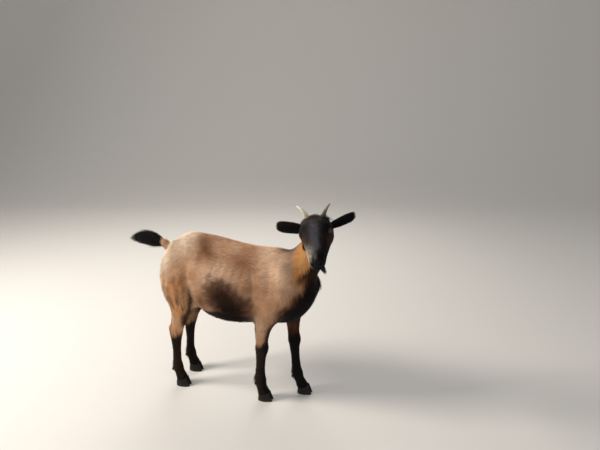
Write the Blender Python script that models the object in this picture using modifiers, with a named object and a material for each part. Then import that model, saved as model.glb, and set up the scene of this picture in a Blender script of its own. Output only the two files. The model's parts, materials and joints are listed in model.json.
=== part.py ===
"""A life-size young goat, standing with its head turned to its right.

Metres, +Z up. The goat faces +X and its left side is +Y. Run in Blender 4.5:
    blender --background --python part.py
Every number below is for a goat 0.65 m high at the withers. x counts from midway between the fore feet.
The finished nodes are moved so that the origin is the middle of the floor under the whole goat.
"""

import math
import random

import bmesh
import bpy
import numpy as np
from mathutils import Matrix, Vector

# Driving sizes
WITHERS_HEIGHT = 0.65
SIZE = WITHERS_HEIGHT / 0.65
GAP = 0.0003

# Voxels of the blended flesh, and how many triangles its whole skin has when a node is cut from it
BODY_VOXEL = 0.0045
HEAD_VOXEL = 0.0017
TORSO_DETAIL = 4200
NECK_DETAIL = 5200
LEG_DETAIL = 6600
HEAD_DETAIL = 3000

# Head: the back of the skull, and how the head is turned, nodded and tilted
SKULL_AT = Vector((0.118, -0.032, 0.7765))
HEAD_TURN = math.radians(-74)
HEAD_NOD = math.radians(31)
HEAD_TILT = math.radians(12)

# Colours
TAN = (0.46, 0.25, 0.13)
BLACK = (0.016, 0.013, 0.013)
DARK_BROWN = (0.06, 0.035, 0.025)
PALE_HORN = (0.50, 0.42, 0.31)
BROWN_HORN = (0.22, 0.17, 0.12)
HOOF = (0.035, 0.030, 0.028)
EYE = (0.30, 0.18, 0.05)

# Torso from breast to rump: x, height of the widest level, half width, rise to the back, drop to the belly
TORSO = (
    (0.112, 0.500, 0.020, 0.028, 0.030),
    (0.098, 0.500, 0.046, 0.055, 0.068),
    (0.068, 0.495, 0.068, 0.088, 0.108),
    (0.030, 0.490, 0.082, 0.128, 0.135),
    (-0.020, 0.485, 0.091, 0.160, 0.141),
    (-0.080, 0.478, 0.101, 0.168, 0.139),
    (-0.150, 0.470, 0.117, 0.176, 0.135),
    (-0.220, 0.465, 0.129, 0.190, 0.131),
    (-0.290, 0.470, 0.128, 0.197, 0.126),
    (-0.345, 0.490, 0.113, 0.183, 0.124),
    (-0.390, 0.515, 0.100, 0.162, 0.110),
    (-0.440, 0.530, 0.088, 0.130, 0.080),
    (-0.485, 0.545, 0.070, 0.080, 0.070),
    (-0.512, 0.548, 0.042, 0.045, 0.045),
)
TORSO_SQUARE_TOP = 1.85
TORSO_SQUARE_BELLY = 2.25

# Neck from chest to skull: x, y, z, half depth fore and aft, half width
NECK = (
    (-0.020, 0.000, 0.500, 0.110, 0.066),
    (0.022, 0.000, 0.550, 0.098, 0.062),
    (0.064, -0.002, 0.600, 0.070, 0.053),
    (0.098, -0.006, 0.650, 0.057, 0.047),
    (0.115, -0.013, 0.700, 0.048, 0.043),
    (0.122, -0.024, 0.745, 0.042, 0.041),
    (0.123, -0.036, 0.780, 0.032, 0.033),
)

# Right fore leg, shoulder blade to coronet: x, y, z, half depth, half width
FORE_LEG = (
    (-0.012, -0.052, 0.610, 0.046, 0.020),
    (0.002, -0.062, 0.560, 0.058, 0.028),
    (0.004, -0.068, 0.510, 0.066, 0.033),
    (-0.014, -0.072, 0.460, 0.064, 0.036),
    (-0.048, -0.073, 0.415, 0.054, 0.034),
    (-0.071, -0.070, 0.370, 0.042, 0.030),
    (-0.084, -0.063, 0.320, 0.0315, 0.026),
    (-0.090, -0.056, 0.272, 0.0250, 0.0230),
    (-0.092, -0.052, 0.238, 0.0270, 0.0255),
    (-0.097, -0.050, 0.202, 0.0210, 0.0195),
    (-0.101, -0.048, 0.155, 0.0188, 0.0172),
    (-0.104, -0.046, 0.112, 0.0205, 0.0185),
    (-0.103, -0.045, 0.085, 0.0232, 0.0220),
    (-0.100, -0.045, 0.058, 0.0200, 0.0215),
    (-0.093, -0.045, 0.036, 0.0245, 0.0235),
    (-0.089, -0.045, 0.012, 0.0245, 0.0235),
)

# Right hind leg, haunch to coronet: x, y, z, half depth, half width
HIND_LEG = (
    (-0.405, -0.040, 0.630, 0.060, 0.024),
    (-0.425, -0.056, 0.580, 0.076, 0.032),
    (-0.430, -0.068, 0.520, 0.086, 0.036),
    (-0.426, -0.074, 0.460, 0.082, 0.038),
    (-0.424, -0.074, 0.405, 0.068, 0.036),
    (-0.436, -0.069, 0.350, 0.047, 0.028),
    (-0.456, -0.064, 0.300, 0.032, 0.0215),
    (-0.471, -0.060, 0.255, 0.0300, 0.0215),
    (-0.475, -0.058, 0.212, 0.0225, 0.0190),
    (-0.477, -0.057, 0.160, 0.0182, 0.0170),
    (-0.480, -0.056, 0.112, 0.0195, 0.0180),
    (-0.478, -0.056, 0.085, 0.0225, 0.0220),
    (-0.472, -0.056, 0.058, 0.0195, 0.0215),
    (-0.464, -0.056, 0.036, 0.0238, 0.0235),
    (-0.460, -0.056, 0.012, 0.0238, 0.0235),
)

# A left leg is the right one mirrored, swung from this height so that its foot lands this much further forward
FORE_SWING_FROM = 0.560
HIND_SWING_FROM = 0.560
FORE_STEP = 0.142
HIND_STEP = -0.003

# Forms under the skin on the right side, mirrored to the left: centre, half sizes
SWELLINGS = (
    (-0.385, -0.052, 0.636, 0.034, 0.024, 0.020),
    (-0.495, -0.040, 0.560, 0.024, 0.020, 0.026),
    (-0.030, -0.020, 0.620, 0.060, 0.020, 0.024),
    (0.050, -0.052, 0.492, 0.034, 0.022, 0.040),
    (-0.100, -0.074, 0.408, 0.020, 0.017, 0.026),
    (-0.495, -0.060, 0.266, 0.010, 0.010, 0.020),
    (-0.376, -0.082, 0.405, 0.026, 0.020, 0.034),
    (-0.345, -0.078, 0.425, 0.040, 0.020, 0.030),
    (-0.402, -0.016, 0.402, 0.036, 0.020, 0.032),
    (-0.396, -0.020, 0.372, 0.0075, 0.0075, 0.022),
)

# How many times the blended flesh is smoothed on the trunk, on the legs and on the head
TRUNK_PASSES = 110
LIMB_PASSES = 5
HEAD_PASSES = 5

# Head in its own frame, nose +X, left +Y, crown +Z: distance along it, top, bottom, widest level, half width
HEAD = (
    (-0.006, 0.014, -0.016, 0.000, 0.016),
    (0.004, 0.032, -0.038, 0.002, 0.037),
    (0.022, 0.044, -0.064, 0.003, 0.0495),
    (0.046, 0.050, -0.074, 0.005, 0.0550),
    (0.072, 0.049, -0.071, 0.008, 0.0550),
    (0.097, 0.041, -0.062, 0.002, 0.0480),
    (0.122, 0.033, -0.053, -0.002, 0.0405),
    (0.147, 0.0275, -0.0440, -0.005, 0.0335),
    (0.169, 0.0240, -0.0380, -0.007, 0.0285),
    (0.186, 0.0200, -0.0340, -0.008, 0.0250),
    (0.197, 0.0130, -0.0290, -0.008, 0.0200),
    (0.203, 0.0020, -0.0200, -0.008, 0.0105),
)
HEAD_SQUARE_TOP = 2.3
HEAD_SQUARE_JAW = 2.2

# Soft swellings of the head, mirrored: centre, radius, how far the skin is pushed out
HEAD_SWELLINGS = (
    ((0.072, 0.048, 0.030), 0.017, 0.0050),
    ((0.050, 0.042, -0.034), 0.026, 0.0030),
    ((0.046, 0.020, 0.052), 0.020, 0.0040),
    ((0.106, 0.036, 0.010), 0.017, -0.0030),
    ((0.187, 0.019, 0.006), 0.010, 0.0022),
    ((0.181, 0.011, -0.030), 0.012, 0.0015),
    ((0.125, 0.012, 0.034), 0.022, -0.0015),
)

# Eye in the head's frame; its opening leans, with the front corner lower
EYE_AT = Vector((0.0760, 0.0440, 0.0205))
EYE_RADIUS = 0.0128
LID = 0.0022
EYE_OUT = Vector((0.30, 0.92, 0.25)).normalized()
EYE_LENGTH = 0.0215
EYE_HEIGHT = 0.0130
EYE_LEAN = math.radians(14)

# Nostrils and mouth in the head's frame
NOSTRIL_AT = Vector((0.1950, 0.0120, 0.0035))
NOSTRIL_SIZE = Vector((0.0085, 0.0030, 0.0052))
NOSTRIL_LEAN = math.radians(32)
MOUTH_CORNER = (0.150, -0.020)
MOUTH_FRONT = (0.2035, -0.0125)
MOUTH_WIDTH = 0.0026

# Horns in the head's frame
HORN_AT = Vector((0.020, 0.0290, 0.0340))
HORN_START = Vector((0.05, 0.10, 0.99)).normalized()
HORN_END = Vector((-0.55, 0.70, 0.40)).normalized()
HORN_LENGTH = 0.060
HORN_RADIUS = 0.0082
HORN_RINGS = 6
HORN_LEAN = math.radians(-5)

# Ears in the head's frame: root, direction of the left, 1, and of the right, -1, where the cup faces, length
EAR_AT = Vector((0.026, 0.038, -0.006))
EAR_ALONG = {
    1: Vector((-0.48, 0.86, -0.04)).normalized(),
    -1: Vector((-0.18, -0.95, 0.24)).normalized(),
}
EAR_FACES = Vector((0.95, 0.25, 0.08))
EAR_LENGTH = 0.104
EAR_DROOP = 0.012
# Along the ear: share of its length, width spread flat, half angle of the curl, thickness
EAR = (
    (0.00, 0.044, 112, 0.0046),
    (0.20, 0.048, 96, 0.0042),
    (0.42, 0.051, 76, 0.0036),
    (0.64, 0.051, 60, 0.0032),
    (0.82, 0.046, 50, 0.0028),
    (0.94, 0.035, 42, 0.0023),
    (1.00, 0.017, 34, 0.0018),
)

# Beard: a short tuft under the chin, blown to the goat's left, in the head's frame
BEARD_AT = Vector((0.166, 0.003, -0.030))
BEARD_TIP = Vector((0.166, 0.014, -0.092))
BEARD_RADIUS = 0.0095
BEARD_LOCKS = 9

# Tail: the dock's path with its half height and half width, then the same for the outside of the hair
DOCK = (
    (-0.480, 0.0, 0.585, 0.020, 0.024),
    (-0.510, 0.0, 0.606, 0.020, 0.021),
    (-0.538, 0.0, 0.618, 0.018, 0.018),
    (-0.565, 0.0, 0.626, 0.014, 0.015),
    (-0.600, 0.0, 0.631, 0.009, 0.009),
)
TUFT = (
    (-0.540, 0.0, 0.622, 0.022, 0.018),
    (-0.562, 0.0, 0.626, 0.031, 0.025),
    (-0.595, 0.0, 0.631, 0.034, 0.028),
    (-0.635, 0.0, 0.634, 0.026, 0.022),
    (-0.670, 0.0, 0.629, 0.014, 0.012),
    (-0.694, 0.0, 0.621, 0.004, 0.003),
)
TUFT_CORE = 0.72
TAIL_RINGS = ((-0.548, 9), (-0.580, 9), (-0.612, 7))

# A lock of long hair: width, thickness, how much each differs, its tip's share, and its length on the tail
LOCK_WIDTH = 0.0085
LOCK_THICK = 0.0026
LOCK_VARIES = 0.16
LOCK_TIP = 0.10
LOCK_LENGTH = 0.084
SEED = 7

# Claws: where the coronet runs, and the sole, in a frame at the middle of the coronet
CORONET_HEEL = 0.024
CORONET_TOE = 0.038
CORONET_HALF = 0.0230
SOLE_HEEL = -0.0245
SOLE_TOE = 0.0375
CLAW_OUTER = 0.0240
CLAW_INNER = 0.0022
# A claw's inset under the coronet, how much it narrows at the toe below and above, and where its middle lies
CLAW_INSET = 0.0012
CLAW_EDGE = 0.0005
CLAW_TAPER_SOLE = 0.36
CLAW_TAPER_TOP = 0.24
CLAW_MIDDLE = 0.24
# x of the middle of the right feet
FOOT_X = {"fore": -0.0905, "hind": -0.4620}

# Dewclaws behind the fetlock
DEWCLAW_RISE = 0.084
DEWCLAW_LENGTH = 0.018
DEWCLAW_RADIUS = 0.0072
DEWCLAW_APART = 0.0105
DEWCLAW_WAY = (-0.60, 0.10, -0.79)

# Where the legs are parted from the trunk and at knee and hock, drawn from the side and from the front
KNEE_CUT = 0.222
HOCK_CUT = 0.222
LEG_CUTS = {
    "fore": {
        "side": ((-0.24, -0.02), (0.09, -0.02), (0.09, 0.24), (0.008, 0.35), (0.018, 0.445), (-0.134, 0.445),
                 (-0.134, 0.37), (-0.24, 0.25)),
        "front": ((0.20, -0.02), (0.004, -0.02), (0.004, 0.30), (0.030, 0.35), (0.040, 0.40), (0.060, 0.425),
                  (0.20, 0.445)),
    },
    "hind": {
        "side": ((-0.62, -0.02), (-0.28, -0.02), (-0.28, 0.24), (-0.385, 0.34), (-0.362, 0.41), (-0.370, 0.500),
                 (-0.62, 0.500)),
        "front": ((0.20, -0.02), (0.003, -0.02), (0.003, 0.33), (0.022, 0.40), (0.030, 0.44), (0.050, 0.47),
                  (0.20, 0.500)),
    },
}
# The neck is parted from the trunk along this line, and the head from the neck in the head's own frame
NECK_CUT = ((-0.002, 0.76), (0.008, 0.645), (0.062, 0.562), (0.16, 0.500), (0.50, 0.50), (0.50, 1.10),
            (-0.05, 1.10))
HEAD_CUT = ((-0.020, 0.066), (0.064, -0.094), (0.34, -0.094), (0.34, 0.20), (-0.020, 0.20))


def clear_scene():
    for thing in list(bpy.data.objects):
        bpy.data.objects.remove(thing, do_unlink=True)


def collection_named(name):
    made = bpy.data.collections.new(name)
    bpy.context.scene.collection.children.link(made)
    return made


def coat(name, colour, roughness):
    material = bpy.data.materials.new(name)
    material.use_nodes = True
    shader = material.node_tree.nodes["Principled BSDF"]
    shader.inputs["Base Color"].default_value = (*colour, 1)
    shader.inputs["Roughness"].default_value = roughness
    return material


def add_object(name, mesh, collection):
    thing = bpy.data.objects.new(name, mesh)
    collection.objects.link(thing)
    return thing


def closed_mesh(name, points, faces):
    """A mesh with its doubles merged and its faces turned outwards."""
    mesh = bpy.data.meshes.new(name)
    mesh.from_pydata([tuple(map(float, point)) for point in points], [], faces)
    form = bmesh.new()
    form.from_mesh(mesh)
    bmesh.ops.remove_doubles(form, verts=form.verts, dist=1e-6)
    bmesh.ops.recalc_face_normals(form, faces=form.faces)
    form.to_mesh(mesh)
    form.free()
    return mesh


def loft(name, rings):
    """A closed mesh over rings of points, each end closed by a fan."""
    rings = np.asarray(rings, float)
    count, around = rings.shape[:2]
    points = np.vstack([rings.reshape(-1, 3), rings[0].mean(0), rings[-1].mean(0)])
    first, last = count * around, (count - 1) * around
    faces = []
    for j in range(around):
        k = (j + 1) % around
        for i in range(0, last, around):
            faces.append((i + j, i + k, i + around + k, i + around + j))
        faces.append((first, k, j))
        faces.append((first + 1, last + j, last + k))
    return closed_mesh(name, points, faces)


def applied(thing):
    """Replaces the object's mesh by what its modifiers make of it."""
    bpy.context.view_layer.update()
    graph = bpy.context.evaluated_depsgraph_get()
    made = bpy.data.meshes.new_from_object(thing.evaluated_get(graph))
    thing.modifiers.clear()
    thing.data = made
    return thing


def points_of(mesh):
    flat = np.empty(len(mesh.vertices) * 3, np.float32)
    mesh.vertices.foreach_get("co", flat)
    return flat.reshape(-1, 3).astype(float)


def smooth_rows(rows, per_span=4):
    """More rows, on a smooth curve through the rows given."""
    rows = np.array(rows, float) * SIZE
    ends = np.vstack([2 * rows[0] - rows[1], rows, 2 * rows[-1] - rows[-2]])
    made = []
    for a, b, c, d in zip(ends, ends[1:], ends[2:], ends[3:]):
        for t in np.arange(per_span) / per_span:
            bend = (2 * a - 5 * b + 4 * c - d) * t * t + (3 * b - a - 3 * c + d) * t**3
            made.append(b + 0.5 * ((c - a) * t + bend))
    made.append(rows[-1])
    return np.array(made)


def oval(around, half_width, rise, drop, square_top=2.0, square_low=2.0):
    """Across and up values of an oval whose upper and lower halves may differ."""
    angle = np.arange(around) * 2 * math.pi / around
    c, s = np.cos(angle), np.sin(angle)
    power = np.where(s > 0, 2 / square_top, 2 / square_low)
    across = half_width * np.sign(c) * np.abs(c) ** power
    up = np.where(s > 0, rise, drop) * np.sign(s) * np.abs(s) ** power
    return across, up


def swept(path, half_side, half_up, side=(0, 1, 0), around=20):
    """Oval rings square to a path. The half widths may change along it."""
    path = np.asarray(path, float)
    along = np.gradient(path, axis=0)
    along /= np.linalg.norm(along, axis=1)[:, None]
    rings = []
    for centre, way, a, b in zip(path, along, half_side, half_up):
        across = np.array(side, float) - np.dot(side, way) * way
        across /= np.linalg.norm(across)
        rise = np.cross(across, way)
        u, v = oval(around, a, b, b)
        rings.append(centre + u[:, None] * across + v[:, None] * rise)
    return rings


def limb(name, rows, around=20):
    rows = smooth_rows(rows)
    return loft(name, swept(rows[:, :3], rows[:, 4], rows[:, 3], around=around))


def torso_form(around=40):
    rings = []
    for x, level, half_width, rise, drop in smooth_rows(TORSO):
        across, up = oval(around, half_width, rise, drop, TORSO_SQUARE_TOP, TORSO_SQUARE_BELLY)
        rings.append(np.column_stack([np.full(around, x), across, level + up]))
    return loft("torso_form", rings)


def swing(points, step, top):
    """Moves points, given as x first and height last, as a leg swings that steps this far forward."""
    points = np.array(points, float)
    share = np.clip((top - points[:, -1]) / top, 0, 1)
    points[:, 0] += step * share**0.62
    return points


def leg_rows(pair, left):
    rows = np.array(FORE_LEG if pair == "fore" else HIND_LEG)
    if left:
        top = FORE_SWING_FROM if pair == "fore" else HIND_SWING_FROM
        rows[:, :3] = swing(rows[:, :3], FORE_STEP if pair == "fore" else HIND_STEP, top)
        rows[:, 1] *= -1
    return rows


def foot_middle(pair, left):
    """The point on the floor under the middle of the coronet."""
    rows = leg_rows(pair, left)
    step = rows[-1, 0] - leg_rows(pair, False)[-1, 0]
    return Vector((FOOT_X[pair] + step, rows[-1, 1], 0)) * SIZE


def head_matrix():
    """From the head's own frame to the goat's."""
    turn = Matrix.Rotation(HEAD_TURN, 4, "Z") @ Matrix.Rotation(HEAD_NOD, 4, "Y")
    return Matrix.Translation(SKULL_AT * SIZE) @ turn @ Matrix.Rotation(HEAD_TILT, 4, "X")


def mirrored(vector, side):
    """The vector for the left side, side 1, or the right side, side -1."""
    return Vector((vector[0], vector[1] * side, vector[2]))


def head_form(around=48):
    """The plain head with the soft swellings of brow, cheek, nose and chin, set in place."""
    rings = []
    for x, top, bottom, level, half_width in smooth_rows(HEAD):
        across, up = oval(around, half_width, top - level, level - bottom, HEAD_SQUARE_TOP, HEAD_SQUARE_JAW)
        rings.append(np.column_stack([np.full(around, x), across, level + up]))
    rings = np.array(rings)
    outward = rings - rings.mean(axis=1, keepdims=True)
    outward /= np.linalg.norm(outward, axis=2, keepdims=True)
    for centre, radius, height in HEAD_SWELLINGS:
        for side in (1, -1):
            away = np.linalg.norm(rings - np.array(centre) * (1, side, 1) * SIZE, axis=2)
            rings = rings + outward * (height * SIZE * np.exp(-((away / radius / SIZE) ** 2)))[:, :, None]
    mesh = loft("head_form", rings)
    mesh.transform(head_matrix())
    return mesh


def head_half_width(x, z):
    """Half width of the plain head at a distance along it and a height."""
    rows = smooth_rows(HEAD)
    top, bottom, level, half_width = (np.interp(x, rows[:, 0], rows[:, i]) for i in (1, 2, 3, 4))
    reach = top - level if z > level else level - bottom
    power = HEAD_SQUARE_TOP if z > level else HEAD_SQUARE_JAW
    return half_width * max(0.0, 1 - (abs(z - level) / reach) ** power) ** (1 / power)


def ball(name, place, sizes, segments=20, rings=12):
    """An ellipsoid mesh of these half sizes, placed by a matrix."""
    form = bmesh.new()
    shape = place @ Matrix.Diagonal((*sizes, 1))
    bmesh.ops.create_uvsphere(form, u_segments=segments, v_segments=rings, radius=1, matrix=shape)
    mesh = bpy.data.meshes.new(name)
    form.to_mesh(mesh)
    form.free()
    return mesh


def prism(name, outline, low, high, axis, collection):
    """A block of this outline from low to high along an axis. The outline's pairs fill the other two axes."""
    points = []
    for level in (low, high):
        for pair in outline:
            points.append(np.insert(pair, axis, level))
    count = len(outline)
    faces = [tuple(range(count)), tuple(range(count, 2 * count))]
    faces += [(i, (i + 1) % count, (i + 1) % count + count, i + count) for i in range(count)]
    return add_object(name, closed_mesh(name, points, faces), collection)


def widened(outline, by):
    """The outline with each edge moved outwards by this much."""
    corners = np.array(outline, float)
    before, after = np.roll(corners, 1, axis=0), np.roll(corners, -1, axis=0)
    turn = np.sign(np.sum(corners[:, 0] * after[:, 1] - after[:, 0] * corners[:, 1]))
    made = []
    for a, b, c in zip(before, corners, after):
        first, second = (b - a) / np.linalg.norm(b - a), (c - b) / np.linalg.norm(c - b)
        normals = np.array([(first[1], -first[0]), (second[1], -second[0])]) * turn
        made.append(b + np.linalg.solve(normals, (by, by)))
    return made


def boolean(thing, operation, other, solver="MANIFOLD"):
    """Cuts thing by other, or joins them. Other is an object or a collection."""
    change = thing.modifiers.new(operation.lower(), "BOOLEAN")
    change.operation = operation
    change.solver = solver
    if isinstance(other, bpy.types.Collection):
        change.operand_type = "COLLECTION"
        change.collection = other
    else:
        change.object = other
    return applied(thing)


def largest_piece(thing):
    """Keeps the largest closed surface of the mesh."""
    form = bmesh.new()
    form.from_mesh(thing.data)
    left, best = set(form.verts), set()
    while left:
        piece, edge = set(), [min(left, key=lambda vert: vert.index)]
        while edge:
            vert = edge.pop()
            if vert not in piece:
                piece.add(vert)
                edge.extend(link.other_vert(vert) for link in vert.link_edges)
        left -= piece
        if len(piece) > len(best):
            best = piece
    bmesh.ops.delete(form, geom=[vert for vert in form.verts if vert not in best], context="VERTS")
    form.to_mesh(thing.data)
    form.free()
    return thing


def blended(name, meshes, voxel, collection):
    """One closed skin over meshes that overlap."""
    form = bmesh.new()
    for mesh in meshes:
        form.from_mesh(mesh)
    made = bpy.data.meshes.new(name)
    form.to_mesh(made)
    form.free()
    flesh = add_object(name, made, collection)
    melt = flesh.modifiers.new("melt", "REMESH")
    melt.mode = "VOXEL"
    melt.voxel_size = voxel * SIZE
    return largest_piece(applied(flesh))


def smoothed(thing, passes, where):
    """Smooths the part of the mesh that where picks, as weights from 0 to 1 for its points."""
    group = thing.vertex_groups.new(name="smoothed")
    for index, weight in enumerate(where(points_of(thing.data))):
        if weight > 0:
            group.add([index], float(weight), "REPLACE")
    soften = thing.modifiers.new("soften", "SMOOTH")
    soften.factor = 0.5
    soften.iterations = passes
    soften.vertex_group = group.name
    applied(thing)
    thing.vertex_groups.clear()
    return thing


def trunk_share(points):
    """1 on the trunk, falling to 0 down the legs and up the neck."""
    height = np.clip((points[:, 2] / SIZE - 0.37) / 0.07, 0, 1)
    neck = np.clip((0.70 - points[:, 2] / SIZE) / 0.06, 0, 1)
    tail = np.clip((points[:, 0] / SIZE + 0.51) / 0.03, 0, 1)
    return height * neck * np.maximum(tail, 0.4)


def everywhere(points):
    return np.ones(len(points))


def body_flesh(collection):
    """Torso, neck, legs and plain head melted into one skin."""
    meshes = [torso_form(), limb("neck_form", NECK, 32), head_form()]
    for pair in ("fore", "hind"):
        for left in (False, True):
            meshes.append(limb("leg_form", leg_rows(pair, left)))
    for *centre, a, b, c in SWELLINGS:
        for left in (False, True):
            place = np.array([centre])
            if left:
                top = FORE_SWING_FROM if centre[0] > -0.2 else HIND_SWING_FROM
                place = swing(place, FORE_STEP if centre[0] > -0.2 else HIND_STEP, top) * (1, -1, 1)
            sizes = Vector((a, b, c)) * SIZE
            meshes.append(ball("swelling", Matrix.Translation(Vector(place[0]) * SIZE), sizes))
    flesh = blended("flesh", meshes, BODY_VOXEL, collection)
    smoothed(flesh, TRUNK_PASSES, trunk_share)
    return smoothed(flesh, LIMB_PASSES, everywhere)


def head_flesh(collection):
    """The head and the top of the neck at a finer grain, with a bulge for each pair of lids."""
    meshes = [limb("neck_form", NECK[2:], 32), head_form()]
    for side in (1, -1):
        place = head_matrix() @ Matrix.Translation(mirrored(EYE_AT, side) * SIZE)
        meshes.append(ball("lids", place, Vector.Fill(3, (EYE_RADIUS + LID) * SIZE), 32, 20))
    flesh = blended("head_flesh", meshes, HEAD_VOXEL, collection)
    return smoothed(flesh, HEAD_PASSES, everywhere)


def thinned(flesh, name, triangles, collection):
    """A copy of the flesh with about this many triangles."""
    copy = add_object(name, flesh.data.copy(), collection)
    fewer = copy.modifiers.new("fewer", "DECIMATE")
    fewer.ratio = triangles / sum(len(face.vertices) - 2 for face in flesh.data.polygons)
    return applied(copy)


def grown(thing, collection, by=GAP * 1.5):
    """A copy whose surface stands out by a little, to cut clear what meets the thing."""
    copy = add_object(thing.name + "_grown", thing.data.copy(), collection)
    normals = np.empty(len(copy.data.vertices) * 3, np.float32)
    copy.data.vertices.foreach_get("normal", normals)
    points = points_of(copy.data) + by * normals.reshape(-1, 3)
    copy.data.vertices.foreach_set("co", points.astype(np.float32).ravel())
    return copy


def leg_region(name, pair, left, by, collection):
    """The block that holds one leg, widened by a little for the cut in the torso."""
    side = np.array(LEG_CUTS[pair]["side"])
    if left:
        top = FORE_SWING_FROM if pair == "fore" else HIND_SWING_FROM
        side = swing(side, FORE_STEP if pair == "fore" else HIND_STEP, top)
    front = np.array(LEG_CUTS[pair]["front"]) * ((1, 1) if left else (-1, 1))
    half = 0.30 * SIZE
    block = prism(name, widened(side * SIZE, by), -half, half, 1, collection)
    cross = prism("cross", widened(front * SIZE, by), -3 * half, 2 * half, 0, collection)
    boolean(block, "INTERSECT", cross)
    bpy.data.objects.remove(cross)
    return block


def coronet(pair, left, rise, collection):
    """The block above the coronet's slope, raised by a little."""
    middle = foot_middle(pair, left)
    slope = (CORONET_TOE - CORONET_HEEL) / (2 * CORONET_HALF)
    reach = 0.10 * SIZE
    centre = (CORONET_HEEL + CORONET_TOE) / 2 * SIZE + rise
    outline = [(middle.x - reach, centre - slope * reach), (middle.x + reach, centre + slope * reach)]
    outline += [(middle.x + reach, 5 * reach), (middle.x - reach, 5 * reach)]
    return prism("coronet", outline, middle.y - reach, middle.y + reach, 1, collection)


def node(name, thing, material, goat):
    """Makes the thing a named node of the goat with one material."""
    for owner in thing.users_collection:
        owner.objects.unlink(thing)
    goat.objects.link(thing)
    thing.name = name
    thing.data.name = name
    thing.data.materials.clear()
    thing.data.materials.append(material)
    return thing


def part_torso(flesh, goat, cutters, tan):
    torso = thinned(flesh, "torso", TORSO_DETAIL, cutters)
    for pair in ("fore", "hind"):
        for left in (False, True):
            region = leg_region("region", pair, left, GAP, cutters)
            boolean(torso, "DIFFERENCE", region)
            bpy.data.objects.remove(region)
    half = 0.30 * SIZE
    region = prism("region", widened(np.array(NECK_CUT) * SIZE, GAP), -half, half, 1, cutters)
    boolean(torso, "DIFFERENCE", region)
    bpy.data.objects.remove(region)
    return node("torso", largest_piece(torso), tan, goat)


def part_neck(flesh, goat, cutters, tan):
    neck = thinned(flesh, "neck", NECK_DETAIL, cutters)
    half = 0.30 * SIZE
    region = prism("region", np.array(NECK_CUT) * SIZE, -half, half, 1, cutters)
    boolean(neck, "INTERSECT", region)
    bpy.data.objects.remove(region)
    region = prism("region", widened(np.array(HEAD_CUT) * SIZE, GAP), -half, half, 1, cutters)
    region.data.transform(head_matrix())
    boolean(neck, "DIFFERENCE", region)
    bpy.data.objects.remove(region)
    return node("neck", largest_piece(neck), tan, goat)


def part_leg(flesh, pair, left, goat, cutters, materials):
    """Upper and lower leg, two claws and two dewclaws."""
    where = pair + ("_leg_left" if left else "_leg_right")
    leg = thinned(flesh, where, LEG_DETAIL, cutters)
    region = leg_region("region", pair, left, 0, cutters)
    boolean(leg, "INTERSECT", region)
    bpy.data.objects.remove(region)
    cut = (KNEE_CUT if pair == "fore" else HOCK_CUT) * SIZE
    big = 1.0 * SIZE
    lower = add_object("lower", leg.data.copy(), cutters)
    for thing, low, high in ((leg, cut + GAP / 2, big), (lower, -big, cut - GAP / 2)):
        block = prism("block", ((-big, -big), (big, -big), (big, big), (-big, big)), low, high, 2, cutters)
        boolean(thing, "INTERSECT", block)
        bpy.data.objects.remove(block)
    above = coronet(pair, left, GAP, cutters)
    boolean(lower, "INTERSECT", above)
    bpy.data.objects.remove(above)
    node(where + "_upper", largest_piece(leg), materials["tan"], goat)
    lower = node(where + "_lower", largest_piece(lower), materials["black"], goat)
    for name, outer in (("outer", 1), ("inner", -1)):
        side = outer * (1 if left else -1)
        claw = add_object("claw", claw_form(foot_middle(pair, left), side), cutters)
        node(f"{where}_claw_{name}", claw, materials["hoof"], goat)
        dewclaw = add_object("dewclaw", dewclaw_form(pair, left, side), cutters)
        beside(f"{where}_dewclaw_{name}", dewclaw, lower, materials["hoof"], goat, cutters)


def claw_form(middle, side, around=16, levels=3):
    """Half of a cloven hoof, flat below, cut above along the coronet. Side 1 is the left claw."""
    angle = np.arange(around) * 2 * math.pi / around
    slope = (CORONET_TOE - CORONET_HEEL) / (2 * CORONET_HALF)
    rings = []
    for share in np.linspace(0, 1, levels):
        heel = SOLE_HEEL + (CLAW_EDGE - CORONET_HALF - SOLE_HEEL) * share
        toe = SOLE_TOE + (CORONET_HALF - CLAW_EDGE - SOLE_TOE) * share**0.9
        x = (heel + toe) / 2 + (toe - heel) / 2 * np.cos(angle)
        along = (x - heel) / (toe - heel)
        taper = 1 - (CLAW_TAPER_SOLE + (CLAW_TAPER_TOP - CLAW_TAPER_SOLE) * share) * along**2.2
        outer = CLAW_INNER + (CLAW_OUTER - CLAW_INSET * share - CLAW_INNER) * taper
        bow = np.abs(np.sin(angle)) ** 0.72
        centre = CLAW_INNER + CLAW_MIDDLE * (CLAW_OUTER - CLAW_INNER)
        y = centre + np.where(np.sin(angle) > 0, outer - centre, CLAW_INNER - centre) * bow
        top = (CORONET_HEEL + CORONET_TOE) / 2 + slope * x
        ring = np.column_stack([x, y * side, top * share]) * SIZE
        rings.append(ring + np.array(middle))
    return loft("claw", rings)


def dewclaw_form(pair, left, side):
    """A small horny knob behind the fetlock, pointing down and back."""
    rows = smooth_rows(leg_rows(pair, left))
    at = rows[np.argmin(np.abs(rows[:, 2] - DEWCLAW_RISE * SIZE))]
    root = np.array((at[0] - 0.55 * at[3], at[1] + side * DEWCLAW_APART * SIZE, DEWCLAW_RISE * SIZE))
    way = np.array(mirrored(DEWCLAW_WAY, side)) * DEWCLAW_LENGTH * SIZE
    shares = np.array((0, 0.55, 0.85, 1.0))
    radius = DEWCLAW_RADIUS * SIZE * np.sqrt(np.clip(1 - shares**3.5, 0.02, 1))
    path = root + shares[:, None] * way
    return loft("dewclaw", swept(path, radius, radius * 0.8, around=8))


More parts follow.
